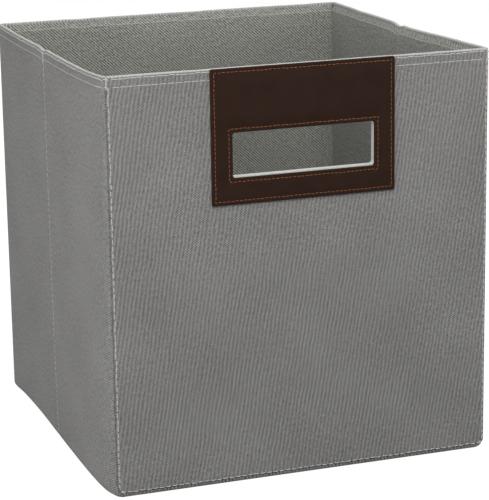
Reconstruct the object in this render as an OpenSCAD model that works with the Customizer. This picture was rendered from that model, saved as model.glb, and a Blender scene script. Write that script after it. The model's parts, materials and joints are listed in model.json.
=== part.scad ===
// Square fabric storage bin with a leather handle patch on its front wall.
// Each wall is a stiff board between an outer cloth and a lining. The side walls
// crease inwards on their vertical centre lines, so that the empty bin folds flat
// against its back wall once the loose base insert has been lifted out.
// +Z is up, the front wall faces -Y, and the origin is under the middle of the bin.

/* [Bin] */
// Width over the outer cloth, left to right
bin_w = 330; // [325:1:360]
// Depth over the outer cloth, front to back, never more than the width
bin_d = 324; // [280:1:324]
// Height from the floor to the top of the rim
bin_h = 344; // [280:1:380]

/* [Cloth and board] */
// Thickness of the outer cloth
cloth_t = 1.2; // [0.8:0.1:1.6]
// Thickness of the stiff board in each wall
board_t = 3; // [2:0.5:4]
// Thickness of the lining
lining_t = 1; // [0.6:0.1:1.4]
// How far the hem of the outer cloth reaches down inside the wall
hem_drop = 3; // [2:0.5:12]
// Radius of the cloth along the bottom edge of each side
bottom_r = 12; // [8:1:16]
// Clearance between panels that swing past each other
swing_gap = 0.3; // [0.2:0.1:0.6]
// How far each half board stops short of the crease and of the corner
board_inset = 1.5; // [1:0.5:4]
// How far each board stops short of the top of the rim
board_drop = 8; // [1.2:0.1:8]

/* [Handle] */
// Width of the leather patch
patch_w = 158; // [150:1:200]
// Height of the leather patch
patch_h = 109.5; // [108:0.5:130]
// Thickness of the leather
patch_t = 1.6; // [1:0.1:2.5]
// Distance from the rim down to the top of the patch
patch_drop = 0.5; // [0:0.5:10]
// Width of the hand slot
slot_w = 122; // [90:1:126]
// Height of the hand slot
slot_h = 36.5; // [30:0.5:38]
// Distance from the rim down to the top of the hand slot
slot_drop = 52; // [40:1:54]
// Corner radius of the hand slot
slot_r = 2; // [1.5:0.5:6]
// Thickness of the cloth binding round the edge of the slot
binding_t = 1; // [0.6:0.1:1.5]

/* [Stitching] */
// Width of a row of thread
thread_w = 0.8; // [0.5:0.1:1.2]
// Depth to which the thread beds into the cloth
thread_t = 0.4; // [0.2:0.1:0.6]
// Distance from the rim down to the first hem row
hem_row_1 = 3.6; // [3:0.1:5]
// Distance from the rim down to the second hem row
hem_row_2 = 9; // [7:0.1:10]
// Distance from a seam to the row of thread beside it
seam_row = 4; // [3:0.5:8]
// Distance from the edge of the leather to its row of thread
patch_row = 3.5; // [2.5:0.5:6]
// Distance from the crease to the row of thread on the front half
crease_row = 1.5; // [1:0.1:3]
// How far a row of thread stops short of the end of its wall
row_margin = 3; // [2:0.5:5]

/* [Base insert] */
// Thickness of the board in the insert
insert_board_t = 2; // [1.5:0.1:3]
// Thickness of the cloth that covers it
insert_cover_t = 0.5; // [0.4:0.1:0.8]
// Clearance between the insert and the walls
insert_gap = 2.5; // [2:0.5:5]

/* [Hidden] */
$fn = 48;

cloth_grey = "#7b7a77";
lining_grey = "#74756f";
board_grey = "#9a8f7c";
thread_grey = "#b9b6ac";
binding_grey = "#c9c8c2";
leather_brown = "#34241e";
thread_tan = "#a0623a";

wall_t = cloth_t + board_t + lining_t;
// The bottom cloth turns up this far, and the walls start just above it.
tray_h = bottom_r;
wall_base = tray_h + swing_gap;
wall_top = bin_h;
inner_r = 3;
// The bin sits back by half the leather's thickness, so that the whole object is centred.
front_face_y = -bin_d / 2 + patch_t / 2;
back_face_y = front_face_y + bin_d;
middle_y = (front_face_y + back_face_y) / 2;
// A half wall keeps the gap from the end wall, and half of it from the other half.
half_wall = bin_d / 2 - wall_t - swing_gap - swing_gap / 2;
slot_z = bin_h - slot_drop - slot_h / 2;
patch_z = bin_h - patch_drop - patch_h / 2;
patch_reach = 2 * wall_t;
// Upright rows of thread stop below the hem rows.
seam_top = bin_h - hem_row_2 - row_margin;
cut = 1;

// ---- Where a wall stands: x runs along the wall, y runs inwards from its outer face ----

module at_front() {
    translate([-bin_w / 2, front_face_y, 0]) children();
}

module at_back() {
    translate([bin_w / 2, back_face_y, 0]) rotate(180) children();
}

module at_left_rear() {
    translate([-bin_w / 2, back_face_y - wall_t - swing_gap, 0]) rotate(-90) children();
}

module at_left_front() {
    translate([-bin_w / 2, middle_y - swing_gap / 2, 0]) rotate(-90) children();
}

module at_right_front() {
    translate([bin_w / 2, front_face_y + wall_t + swing_gap, 0]) rotate(90) children();
}

module at_right_rear() {
    translate([bin_w / 2, middle_y + swing_gap / 2, 0]) rotate(90) children();
}

// ---- Layers that every wall has ----

// Outer cloth of a wall, turned over the top of the board and down inside.
// A full wall's cloth also wraps both ends of its board.
module outer_layer(length, wraps_ends) {
    wall_h = wall_top - wall_base;
    translate([0, 0, wall_base]) cube([length, cloth_t, wall_h]);
    translate([0, 0, wall_top - cloth_t]) cube([length, wall_t, cloth_t]);
    translate([0, wall_t - lining_t, wall_top - hem_drop]) cube([length, lining_t, hem_drop]);
    if (wraps_ends) {
        for (x = [0, length - cloth_t]) {
            translate([x, 0, wall_base]) cube([cloth_t, wall_t, wall_h]);
        }
    }
}

module board_layer(length, inset) {
    translate([inset, cloth_t, wall_base])
        cube([length - 2 * inset, board_t, wall_top - wall_base - board_drop]);
}

module lining_layer(length, inset) {
    translate([inset, cloth_t + board_t, wall_base])
        cube([length - 2 * inset, lining_t, wall_top - wall_base - hem_drop]);
}

// A row of thread along the wall, from one x to another. It beds into the cloth, and
// proud lets the same row cut its own groove.
module level_row(from_x, to_x, z, proud) {
    translate([from_x, -proud, z - thread_w / 2])
        cube([to_x - from_x, thread_t + proud, thread_w]);
}

module upright_row(x, from_z, to_z, proud) {
    translate([x - thread_w / 2, -proud, from_z])
        cube([thread_w, thread_t + proud, to_z - from_z]);
}

module hem_rows(from_x, to_x, proud) {
    for (drop = [hem_row_1, hem_row_2]) {
        level_row(from_x, to_x, bin_h - drop, proud);
    }
}

// The row beside the seam of a front or back panel: down one side, along, and up the other.
module seam_rows(length, proud) {
    for (x = [seam_row, length - seam_row]) {
        upright_row(x, wall_base + seam_row, seam_top, proud);
    }
    level_row(2 * seam_row, length - 2 * seam_row, wall_base + seam_row / 2, proud);
}

// ---- Half walls of the two sides, which meet at the crease ----

module half_outer_cloth(crease_x) {
    color(cloth_grey) difference() {
        outer_layer(half_wall, false);
        half_rows(crease_x, cut);
    }
}

module half_board() {
    color(board_grey) board_layer(half_wall, board_inset);
}

module half_lining() {
    color(lining_grey) lining_layer(half_wall, 0);
}

// Hem rows, and on a half that has the crease's row of thread, that row at crease_x.
module half_rows(crease_x, proud) {
    hem_rows(row_margin, half_wall - row_margin, proud);
    if (crease_x > 0) {
        upright_row(crease_x, wall_base + row_margin, seam_top, proud);
    }
}

module half_stitching(crease_x) {
    color(thread_grey) half_rows(crease_x, 0);
}

// ---- Back wall and bottom ----

module back_outer_cloth() {
    color(cloth_grey) difference() {
        at_back() outer_layer(bin_w, true);
        at_back() back_rows(cut);
    }
}

module back_board() {
    color(board_grey) at_back() board_layer(bin_w, wall_t);
}

module back_lining() {
    color(lining_grey) at_back() lining_layer(bin_w, cloth_t);
}

module back_rows(proud) {
    hem_rows(row_margin, bin_w - row_margin, proud);
    seam_rows(bin_w, proud);
}

module back_stitching() {
    color(thread_grey) at_back() back_rows(0);
}

// A prism along Y whose two lower long edges are rounded.
module round_bottomed(width, depth, height, radius) {
    intersection() {
        translate([-width / 2, -depth / 2, 0]) cube([width, depth, height]);
        union() {
            translate([-width / 2 + radius, -depth / 2, 0])
                cube([width - 2 * radius, depth, height]);
            translate([-width / 2, -depth / 2, radius])
                cube([width, depth, height]);
            for (x = [-1, 1] * (width / 2 - radius)) {
                translate([x, depth / 2, radius]) rotate([90, 0, 0]) cylinder(h = depth, r = radius);
            }
        }
    }
}

// Floor cloth with its turned-up edge, to which the walls are sewn.
module base_cloth() {
    color(cloth_grey) difference() {
        translate([0, middle_y, 0]) round_bottomed(bin_w, bin_d, tray_h, bottom_r);
        translate([0, middle_y, cloth_t])
            round_bottomed(bin_w - 2 * wall_t, bin_d - 2 * wall_t, tray_h, inner_r);
    }
}

// ---- Loose insert that stiffens the bottom ----

module insert_block(shrink) {
    block_w = bin_w - 2 * wall_t - 2 * insert_gap - 2 * shrink;
    block_d = bin_d - 2 * wall_t - 2 * insert_gap - 2 * shrink;
    block_t = insert_board_t + 2 * insert_cover_t - 2 * shrink;
    translate([-block_w / 2, middle_y - block_d / 2, cloth_t + swing_gap + shrink])
        cube([block_w, block_d, block_t]);
}

module base_insert_board() {
    color(board_grey) insert_block(insert_cover_t);
}

module base_insert_cover() {
    color(lining_grey) difference() {
        insert_block(0);
        insert_block(insert_cover_t);
    }
}

// ---- Front wall and handle ----

// An upright slab with rounded corners, of the hand slot's size and a border round it.
module slot_slab(border, from_y, to_y) {
    w = slot_w + 2 * border;
    h = slot_h + 2 * border;
    r = slot_r + border;
    translate([0, to_y, slot_z]) rotate([90, 0, 0]) linear_extrude(to_y - from_y) {
        square([w - 2 * r, h], center = true);
        square([w, h - 2 * r], center = true);
        for (x = [-1, 1] * (w / 2 - r), z = [-1, 1] * (h / 2 - r)) {
            translate([x, z]) circle(r);
        }
    }
}

module slot_cut(border) {
    slot_slab(border, front_face_y - patch_reach, front_face_y + patch_reach);
}

module front_rows(proud) {
    patch_side = (bin_w - patch_w) / 2 - thread_w;
    hem_rows(row_margin, patch_side, proud);
    hem_rows(bin_w - patch_side, bin_w - row_margin, proud);
    seam_rows(bin_w, proud);
}

module front_outer_cloth() {
    color(cloth_grey) difference() {
        at_front() outer_layer(bin_w, true);
        at_front() front_rows(cut);
        slot_cut(binding_t);
    }
}

module front_board() {
    color(board_grey) difference() {
        at_front() board_layer(bin_w, wall_t);
        slot_cut(binding_t);
    }
}

module front_lining() {
    color(lining_grey) difference() {
        at_front() lining_layer(bin_w, cloth_t);
        slot_cut(binding_t);
    }
}

module front_stitching() {
    color(thread_grey) at_front() front_rows(0);
}

// Light cloth turned through the slot to bind the cut edges of the wall.
module slot_binding() {
    color(binding_grey) difference() {
        slot_slab(binding_t, front_face_y, front_face_y + wall_t);
        slot_cut(0);
    }
}

// A rectangular ring of thread in the leather's face.
module thread_ring(w, h, centre_z, proud) {
    leather_face_y = front_face_y - patch_t;
    translate([0, leather_face_y + thread_t, centre_z])
        rotate([90, 0, 0])
            linear_extrude(thread_t + proud) difference() {
                square([w, h], center = true);
                square([w - 2 * thread_w, h - 2 * thread_w], center = true);
            }
}

module handle_rings(proud) {
    thread_ring(patch_w - 2 * patch_row, patch_h - 2 * patch_row, patch_z, proud);
    thread_ring(slot_w + 2 * patch_row, slot_h + 2 * patch_row, slot_z, proud);
}

module handle_patch() {
    color(leather_brown) difference() {
        translate([-patch_w / 2, front_face_y - patch_t, patch_z - patch_h / 2])
            cube([patch_w, patch_t, patch_h]);
        slot_cut(0);
        handle_rings(cut);
    }
}

module handle_stitching() {
    color(thread_tan) handle_rings(0);
}

// ---- Half walls in their places ----

module left_rear_outer_cloth() { at_left_rear() half_outer_cloth(0); }
module left_rear_board() { at_left_rear() half_board(); }
module left_rear_lining() { at_left_rear() half_lining(); }
module left_rear_stitching() { at_left_rear() half_stitching(0); }

module left_front_outer_cloth() { at_left_front() half_outer_cloth(crease_row); }
module left_front_board() { at_left_front() half_board(); }
module left_front_lining() { at_left_front() half_lining(); }
module left_front_stitching() { at_left_front() half_stitching(crease_row); }

module right_front_outer_cloth() { at_right_front() half_outer_cloth(half_wall - crease_row); }
module right_front_board() { at_right_front() half_board(); }
module right_front_lining() { at_right_front() half_lining(); }
module right_front_stitching() { at_right_front() half_stitching(half_wall - crease_row); }

module right_rear_outer_cloth() { at_right_rear() half_outer_cloth(0); }
module right_rear_board() { at_right_rear() half_board(); }
module right_rear_lining() { at_right_rear() half_lining(); }
module right_rear_stitching() { at_right_rear() half_stitching(0); }

base_cloth();
base_insert_board();
base_insert_cover();
back_outer_cloth();
back_board();
back_lining();
back_stitching();
left_rear_outer_cloth();
left_rear_board();
left_rear_lining();
left_rear_stitching();
left_front_outer_cloth();
left_front_board();
left_front_lining();
left_front_stitching();
front_outer_cloth();
front_board();
front_lining();
front_stitching();
slot_binding();
handle_patch();
handle_stitching();
right_front_outer_cloth();
right_front_board();
right_front_lining();
right_front_stitching();
right_rear_outer_cloth();
right_rear_board();
right_rear_lining();
right_rear_stitching();
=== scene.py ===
"""Square fabric storage bin: twill walls, a leather handle patch and all its stitching.

The outer cloth is a rounded box that is cut where the bin moves: a front and a back panel, two side panels
with a crease down their middle, four corner wraps round the upright corners, and a floor cloth. Every length
is in metres, and a height is measured from the surface the bin stands on.
"""

from __future__ import annotations

import json
import logging
import math
from dataclasses import dataclass, field, replace
from enum import Enum
from typing import Callable, Iterable, Sequence

import bpy
from mathutils import Matrix, Vector


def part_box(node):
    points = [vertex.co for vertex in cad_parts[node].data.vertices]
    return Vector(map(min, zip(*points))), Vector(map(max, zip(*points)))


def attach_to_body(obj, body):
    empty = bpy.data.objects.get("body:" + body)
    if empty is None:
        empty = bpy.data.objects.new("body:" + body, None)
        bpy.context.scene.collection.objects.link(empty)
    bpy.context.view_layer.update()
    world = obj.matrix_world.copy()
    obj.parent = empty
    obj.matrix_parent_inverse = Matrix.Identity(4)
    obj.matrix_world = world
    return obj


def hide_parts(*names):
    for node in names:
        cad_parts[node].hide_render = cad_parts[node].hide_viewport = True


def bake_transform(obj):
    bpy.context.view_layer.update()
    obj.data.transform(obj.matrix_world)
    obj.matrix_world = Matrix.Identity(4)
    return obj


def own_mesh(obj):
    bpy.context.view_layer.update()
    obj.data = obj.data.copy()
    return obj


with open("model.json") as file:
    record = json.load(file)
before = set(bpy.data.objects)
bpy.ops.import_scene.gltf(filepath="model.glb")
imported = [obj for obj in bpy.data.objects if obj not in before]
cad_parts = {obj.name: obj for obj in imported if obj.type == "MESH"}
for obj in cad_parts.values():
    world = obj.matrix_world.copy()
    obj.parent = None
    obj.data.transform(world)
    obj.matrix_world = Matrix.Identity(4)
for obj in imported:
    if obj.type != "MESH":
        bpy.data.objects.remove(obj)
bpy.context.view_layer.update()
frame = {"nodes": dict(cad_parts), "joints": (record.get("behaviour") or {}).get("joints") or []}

log = logging.getLogger("storage_bin")
MM = 0.001
RIGHT_ANGLE = math.pi / 2
Point = tuple[float, float, float]
Pair = tuple[float, float]


# ---- Small helpers --------------------------------------------------------------------------------


def smoothstep(t: float) -> float:
    """A smooth ramp from 0 at t = 0 to 1 at t = 1."""
    t = min(max(t, 0.0), 1.0)
    return t * t * (3.0 - 2.0 * t)


def spread(start: float, end: float, step: float) -> list[float]:
    """Even values from start to end, both included.

    Args:
        start: First value.
        end: Last value.
        step: Widest gap between two values.

    Returns:
        The values, in order.
    """
    count = max(1, math.ceil(abs(end - start) / step))
    return [start + (end - start) * i / count for i in range(count + 1)]


def ripple(t: float, seed: float) -> float:
    """A slow irregular wave between about -1 and 1, the same on every run.

    Args:
        t: Place along the cloth, in metres.
        seed: Picks one wave out of many.

    Returns:
        The wave's height at that place.
    """
    waves = ((31.0, 1.0), (57.0, 0.6), (113.0, 0.35))
    total = sum(size * math.sin(rate * t * 2.0 + seed * (3.1 + rate)) for rate, size in waves)
    return total / sum(size for _, size in waves)


def mound(along: float, centre: float, width: float, height: float) -> float:
    """A smooth mound.

    Args:
        along: Place along the cloth.
        centre: Where the mound is highest.
        width: How far from its centre it has sunk to about a third.
        height: Height at the centre.

    Returns:
        The mound's height at that place.
    """
    off = (along - centre) / width
    return height * math.exp(-off * off)


def merge_sorted(*groups: Iterable[float]) -> list[float]:
    """All the values of the groups in order, without near doubles."""
    values: list[float] = []
    least_gap = 0.001 * MM
    for value in sorted(v for group in groups for v in group):
        if not values or value - values[-1] > least_gap:
            values.append(value)
    return values


# ---- Meshes ---------------------------------------------------------------------------------------


@dataclass
class Patchwork:
    """Collects grids of cloth into one mesh with a UV map in metres.

    Attributes:
        name: Name of the piece.
    """

    name: str
    points: list[Point] = field(default_factory=list)
    uvs: list[Pair] = field(default_factory=list)
    faces: list[tuple[int, ...]] = field(default_factory=list)

    def add_grid(
        self,
        rows: Sequence[Sequence[Point]],
        uvs: Sequence[Sequence[Pair]],
        flip: bool = False,
        skip: Callable[[int, int], bool] | None = None,
    ) -> None:
        """Adds a grid of quads.

        Args:
            rows: Points, row by row.
            uvs: One place on the flat cloth for each point.
            flip: Turns the faces over.
            skip: Says of a row and a column whether the quad there is left out.
        """
        start = len(self.points)
        wide = len(rows[0])
        for row, flat in zip(rows, uvs):
            self.points.extend(row)
            self.uvs.extend(flat)
        for r in range(len(rows) - 1):
            for c in range(wide - 1):
                if skip and skip(r, c):
                    continue
                corner = start + r * wide + c
                quad = (corner, corner + 1, corner + wide + 1, corner + wide)
                self.faces.append(quad[::-1] if flip else quad)

    def add_loops(
        self, loops: Sequence[Sequence[Point]], flat_axis: int = 2, closed: bool = False, caps: bool = False
    ) -> None:
        """Joins closed loops of equal count into a skin. Their order makes its faces point outwards.

        Args:
            loops: Loops of points.
            flat_axis: The axis that goes with X on the flat cloth.
            closed: Joins the last loop to the first.
            caps: Fills the first and the last loop.
        """
        start = len(self.points)
        count = len(loops[0])
        for loop in loops:
            self.points.extend(loop)
            self.uvs.extend((p[0], p[flat_axis]) for p in loop)
        for b in range(len(loops) if closed else len(loops) - 1):
            low, high = start + b * count, start + (b + 1) % len(loops) * count
            for i in range(count):
                j = (i + 1) % count
                self.faces.append((low + i, low + j, high + j, high + i))
        if caps:
            last = start + (len(loops) - 1) * count
            self.faces.append(tuple(start + i for i in reversed(range(count))))
            self.faces.append(tuple(last + i for i in range(count)))

    def build(self, finish: "Finish", thickness: float = 0.0) -> bpy.types.Object:
        """Makes the object, smooth shaded, with its finish.

        Args:
            finish: What the piece is made of.
            thickness: Grows the cloth inwards by this much, if it isn't 0.

        Returns:
            The new object, a plain mesh at the origin.
        """
        mesh = bpy.data.meshes.new(self.name)
        mesh.from_pydata(self.points, [], self.faces)
        layer = mesh.uv_layers.new(name="cloth")
        for loop in mesh.loops:
            layer.data[loop.index].uv = self.uvs[loop.vertex_index]
        mesh.update()
        piece = place_object(self.name, mesh)
        mesh.materials.append(finish.material())
        piece.modifiers.new("weld", "WELD").merge_threshold = 0.002 * MM
        if thickness:
            solid = piece.modifiers.new("thickness", "SOLIDIFY")
            solid.thickness = thickness
            solid.offset = -1.0
            solid.use_even_offset = False
        return settle(piece)


def place_object(name: str, data: bpy.types.ID) -> bpy.types.Object:
    """Puts a new object with its data in the scene."""
    made = bpy.data.objects.new(name, data)
    bpy.context.scene.collection.objects.link(made)
    return made


def settle(piece: bpy.types.Object, angle: float = 50.0) -> bpy.types.Object:
    """Applies a piece's modifiers and shades it smooth, apart from its sharp edges.

    Args:
        piece: The object.
        angle: Edges that bend by more than this many degrees stay sharp.

    Returns:
        The same object, with a plain mesh.
    """
    graph = bpy.context.evaluated_depsgraph_get()
    mesh = bpy.data.meshes.new_from_object(piece.evaluated_get(graph))
    piece.modifiers.clear()
    old, piece.data = piece.data, mesh
    bpy.data.meshes.remove(old)
    mesh.name = piece.name
    mesh.polygons.foreach_set("use_smooth", [True] * len(mesh.polygons))
    mesh.set_sharp_from_angle(angle=math.radians(angle))
    return piece


def rounded_loop(width: float, height: float, radius: float, centre: Pair) -> list[Pair]:
    """A rectangle with rounded corners, anticlockwise from its right side.

    Args:
        width: Full width.
        height: Full height.
        radius: Corner radius.
        centre: Middle of the rectangle.

    Returns:
        Points, always the same number and in the same order, so that loops can be joined.
    """
    side_steps, corner_steps = 24, 6
    radius = max(radius, 0.02 * MM)
    half_w, half_h = width / 2.0 - radius, height / 2.0 - radius
    corners = ((half_w, half_h), (-half_w, half_h), (-half_w, -half_h), (half_w, -half_h))

    def on_arc(corner: Pair, turn: float) -> Pair:
        """The point of a corner's arc that faces one way."""
        across, up = radius * math.cos(turn), radius * math.sin(turn)
        return centre[0] + corner[0] + across, centre[1] + corner[1] + up

    points: list[Pair] = []
    for number, corner in enumerate(corners):
        turns = [RIGHT_ANGLE * (number + i / corner_steps) for i in range(corner_steps + 1)]
        points += [on_arc(corner, turn) for turn in turns]
        x0, z0 = points[-1]
        x1, z1 = on_arc(corners[(number + 1) % 4], turns[-1])
        shares = [i / side_steps for i in range(1, side_steps)]
        points += [(x0 + (x1 - x0) * share, z0 + (z1 - z0) * share) for share in shares]
    return points


def between(first: Sequence[Pair], second: Sequence[Pair], share: float) -> list[Pair]:
    """A loop between two loops of equal count.

    Args:
        first: The loop at a share of 0.
        second: The loop at a share of 1.
        share: How far the new loop lies from the first one.

    Returns:
        Its points.
    """
    return [(a[0] + (b[0] - a[0]) * share, a[1] + (b[1] - a[1]) * share) for a, b in zip(first, second)]


# ---- Shader maths ---------------------------------------------------------------------------------


@dataclass
class Value:
    """A shader socket that takes part in Python expressions.

    Attributes:
        graph: The graph that the socket belongs to.
        socket: The socket itself.
    """

    graph: "Graph"
    socket: bpy.types.NodeSocket

    def __add__(self, other: "Value | float") -> "Value":
        """Sum."""
        return self.graph.maths("ADD", self, other)

    def __sub__(self, other: "Value | float") -> "Value":
        """Difference."""
        return self.graph.maths("SUBTRACT", self, other)

    def __mul__(self, other: "Value | float") -> "Value":
        """Product."""
        return self.graph.maths("MULTIPLY", self, other)

    def __rsub__(self, other: float) -> "Value":
        """Difference, from a number."""
        return self.graph.maths("SUBTRACT", other, self)

    __radd__ = __add__
    __rmul__ = __mul__

    def sine(self) -> "Value":
        """Sine of the value in radians."""
        return self.graph.maths("SINE", self)


class NodeMaker:
    """A node tree with one method that makes any node."""

    tree: bpy.types.NodeTree
    prefix = ""

    def node(self, kind: str, settings: dict | None = None, inputs: dict | None = None) -> bpy.types.Node:
        """Makes a node.

        Args:
            kind: Type of the node, without the prefix that the tree's nodes share.
            settings: Properties, set before the sockets.
            inputs: Values or links for sockets, by name or by number.

        Returns:
            The node.
        """
        made = self.tree.nodes.new(self.prefix + kind)
        for key, value in (settings or {}).items():
            setattr(made, key, value)
        for key, value in (inputs or {}).items():
            self.feed(made.inputs[key], value)
        return made

    def feed(self, socket: bpy.types.NodeSocket, value: object) -> None:
        """Links a socket to another one, or sets its value."""
        source = value.socket if isinstance(value, Value) else value
        if isinstance(source, bpy.types.NodeSocket):
            self.tree.links.new(source, socket)
        else:
            socket.default_value = source


class Graph(NodeMaker):
    """The node graph of one material."""

    prefix = "ShaderNode"

    def __init__(self, name: str) -> None:
        """Starts a material with only a shader and an output.

        Args:
            name: Name of the material.
        """
        self.material = bpy.data.materials.new(name)
        self.material.use_nodes = True
        self.tree = self.material.node_tree
        self.tree.nodes.clear()
        self.shader = self.node("BsdfPrincipled")
        self.node("OutputMaterial", {}, {"Surface": self.out(self.shader, "BSDF")})

    def out(self, node: bpy.types.Node, name: str | int = 0) -> Value:
        """One of a node's outputs."""
        return Value(self, node.outputs[name])

    def maths(self, operation: str, *terms: "Value | float") -> Value:
        """A Math node on values and numbers."""
        return self.out(self.node("Math", {"operation": operation}, dict(enumerate(terms))))

    def mix(self, factor: Value, first: tuple, second: tuple) -> Value:
        """A colour between two colours."""
        inputs = {0: factor, 6: (*first, 1.0), 7: (*second, 1.0)}
        return self.out(self.node("Mix", {"data_type": "RGBA"}, inputs), 2)

    def noise(self, where: Value, scale: float, detail: float = 2.0) -> Value:
        """Noise from 0 to 1.

        Args:
            where: Coordinates in metres.
            scale: Number of features in a metre.
            detail: Levels of finer noise.

        Returns:
            The noise's value.
        """
        inputs = {"Vector": where, "Scale": scale, "Detail": detail, "Roughness": 0.55}
        return self.out(self.node("TexNoise", {}, inputs), "Fac")

    def uneven(self, where: Value, scale: float, detail: float, size: float) -> Value:
        """Noise about 0.

        Args:
            where: Coordinates in metres.
            scale: Number of features in a metre.
            detail: Levels of finer noise.
            size: Full range of the noise.

        Returns:
            The noise's value.
        """
        return (self.noise(where, scale, detail) - 0.5) * size

    def stripes(self, across: Value, along: Value, angle: float, pitch: float) -> Value:
        """A wave from -1 to 1 over even stripes.

        Args:
            across: Coordinate across the stripes.
            along: Coordinate along them.
            angle: How far they are turned, in degrees.
            pitch: Distance from one stripe to the next.

        Returns:
            The wave's value.
        """
        lean, turn = math.radians(angle), 2.0 * math.pi / pitch
        return (across * (math.cos(lean) * turn) - along * (math.sin(lean) * turn)).sine()

    def axes(self, where: Value) -> tuple[Value, Value, Value]:
        """The three parts of a vector."""
        split = self.node("SeparateXYZ", {}, {0: where})
        return self.out(split, 0), self.out(split, 1), self.out(split, 2)

    def surface(self, **links: Value | float | tuple) -> None:
        """Sets the shader's sockets, named with _ for a space."""
        for key, value in links.items():
            self.feed(self.shader.inputs[key.replace("_", " ")], value)

    def bump(self, height: Value, depth: float, strength: float = 1.0) -> None:
        """Feeds a height to the shader's normal.

        Args:
            height: Height from 0 to 1.
            depth: What a height of 1 is, in metres.
            strength: Strength of the bump.
        """
        inputs = {"Height": height, "Distance": depth, "Strength": strength}
        self.surface(Normal=self.out(self.node("Bump", {}, inputs), "Normal"))


# ---- Finishes -------------------------------------------------------------------------------------


class Twill(Enum):
    """Which way the diagonals of a twill climb, seen from the side that shows."""

    RIGHT = 1.0
    LEFT = -1.0


@dataclass(frozen=True)
class Finish:
    """What a piece is made of.

    Attributes:
        name: Name of the material.
        dark: Colour in the hollows of the surface.
        light: Colour on top of the surface.
    """

    name: str
    dark: tuple[float, float, float]
    light: tuple[float, float, float]

    def material(self) -> bpy.types.Material:
        """The material, made once."""
        found = bpy.data.materials.get(self.name)
        if found:
            return found
        graph = Graph(self.name)
        self.paint(graph)
        return graph.material

    def paint(self, graph: Graph) -> None:
        """Fills in the graph. Each finish has its own."""
        raise NotImplementedError


@dataclass(frozen=True)
class TwillCloth(Finish):
    """Woven cloth with diagonal ribs, slightly uneven yarns and a soft steep rib from the warp.

    Attributes:
        slope: Which way the diagonals climb.
        wale: Distance from one diagonal to the next.
        angle: Angle of the diagonals above the horizontal, in degrees.
        rib: Distance from one steep rib to the next.
        rib_lean: Lean of the steep ribs from the vertical, in degrees.
        rib_share: Strength of the steep ribs against the diagonals.
        contrast: Strength of the weave's pattern in the colour, which is partly the yarns' own tone and
            partly painted shade in the weave's hollows.
        relief: Height of the weave.
        grain: Strength of the yarns' unevenness.
        middle: Where the weave's colour lies between the dark one and the light one.
        rim_highlight: Painted highlight: how much lighter the cloth is painted where it folds over the rim,
            in place of light catching the rounded rim.
    """

    slope: Twill = Twill.RIGHT
    wale: float = 1.7 * MM
    angle: float = 35.0
    rib: float = 3.35 * MM
    rib_lean: float = 9.5
    rib_share: float = 0.8
    contrast: float = 0.5
    relief: float = 0.25 * MM
    grain: float = 0.75
    middle: float = 0.5
    rim_highlight: float = 0.0

    def paint(self, graph: Graph) -> None:
        """Weave on the UV map, in metres."""
        where = graph.out(graph.node("TexCoord"), "UV")
        u, v, _ = graph.axes(where)
        u = u * self.slope.value + graph.uneven(where, scale=45.0, detail=1.0, size=1.6 * MM)
        wale = graph.stripes(v, u, self.angle, self.wale)
        warp, weft = 2.05 * MM, 1.85 * MM
        cross = (u * (2.0 * math.pi / warp) + v * (2.0 * math.pi / weft)).sine()
        drift = graph.uneven(where, scale=28.0, detail=2.0, size=3.0 * MM)
        rib = graph.stripes(u + drift, v, self.rib_lean, self.rib)
        fibres = graph.uneven(where, scale=900.0, detail=3.0, size=0.9)
        yarns = graph.uneven(where, scale=380.0, detail=1.0, size=self.grain)
        weave = wale * 0.26 + cross * 0.14 + rib * (0.22 * self.rib_share) + wale * cross * 0.12
        height = weave + (fibres + yarns) + 0.5
        cloudy = graph.uneven(where, scale=14.0, detail=3.0, size=0.25)
        # The colour follows the weave's height: the yarns' own tone, plus painted shade that darkens the
        # hollows of the weave.
        mask = (height - 0.5) * self.contrast + cloudy + self.middle
        # Painted highlight: the band over the rim is made lighter, as if light from above caught the rounded
        # rim.
        if self.rim_highlight:
            mask = mask + self.over_rim(graph, v) * self.rim_highlight
        graph.surface(
            Base_Color=graph.mix(mask, self.dark, self.light),
            Roughness=0.9,
            Specular_IOR_Level=0.2,
            Sheen_Weight=0.15,
            Sheen_Roughness=0.5,
        )
        graph.bump(height, self.relief, 0.8)

    @staticmethod
    def over_rim(graph: Graph, v: Value) -> Value:
        """1 on the band of cloth that folds over the rim, fading to 0 on both sides of it. The painted rim
        highlight lies there.
        """
        middle, reach, steepness = RIM_AT + 1.2 * MM, 2.5 * MM, 1.7
        off = graph.maths("ABSOLUTE", v - middle)
        fade = graph.maths("MAXIMUM", steepness - off * (steepness / reach), 0.0)
        return graph.maths("MINIMUM", fade, 1.0)


@dataclass(frozen=True)
class Leather(Finish):
    """Dark smooth leather with a fine pebble grain and faint marbling."""

    def paint(self, graph: Graph) -> None:
        """Grain on the object's own coordinates."""
        where = graph.out(graph.node("TexCoord"), "Object")
        settings = {"feature": "DISTANCE_TO_EDGE"}
        cells = graph.node("TexVoronoi", settings, {"Vector": where, "Scale": 1100.0})
        grain = graph.maths("MINIMUM", graph.out(cells, 0) * 3.0, 1.0)
        marble = graph.noise(where, 60.0, 4.0)
        fine = graph.noise(where, 2600.0, 2.0)
        mask = marble * 0.6 + grain * 0.2 + fine * 0.35 - 0.1
        graph.surface(
            Base_Color=graph.mix(mask, self.dark, self.light),
            Roughness=0.66 - grain * 0.08 + fine * 0.12,
            Specular_IOR_Level=0.16,
        )
        graph.bump(grain * 0.7 + fine * 0.3, 0.12 * MM, 0.5)


@dataclass(frozen=True)
class Thread(Finish):
    """Twisted sewing thread."""

    def paint(self, graph: Graph) -> None:
        """Fine fibres on the object's own coordinates."""
        where = graph.out(graph.node("TexCoord"), "Object")
        fibre = graph.noise(where, 1500.0, 2.0)
        patchy = graph.noise(where, 180.0, 2.0)
        graph.surface(
            Base_Color=graph.mix(fibre * 0.6 + patchy * 0.6 - 0.1, self.dark, self.light),
            Roughness=0.7,
            Specular_IOR_Level=0.3,
        )
        graph.bump(fibre, 0.1 * MM, 0.5)


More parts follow.
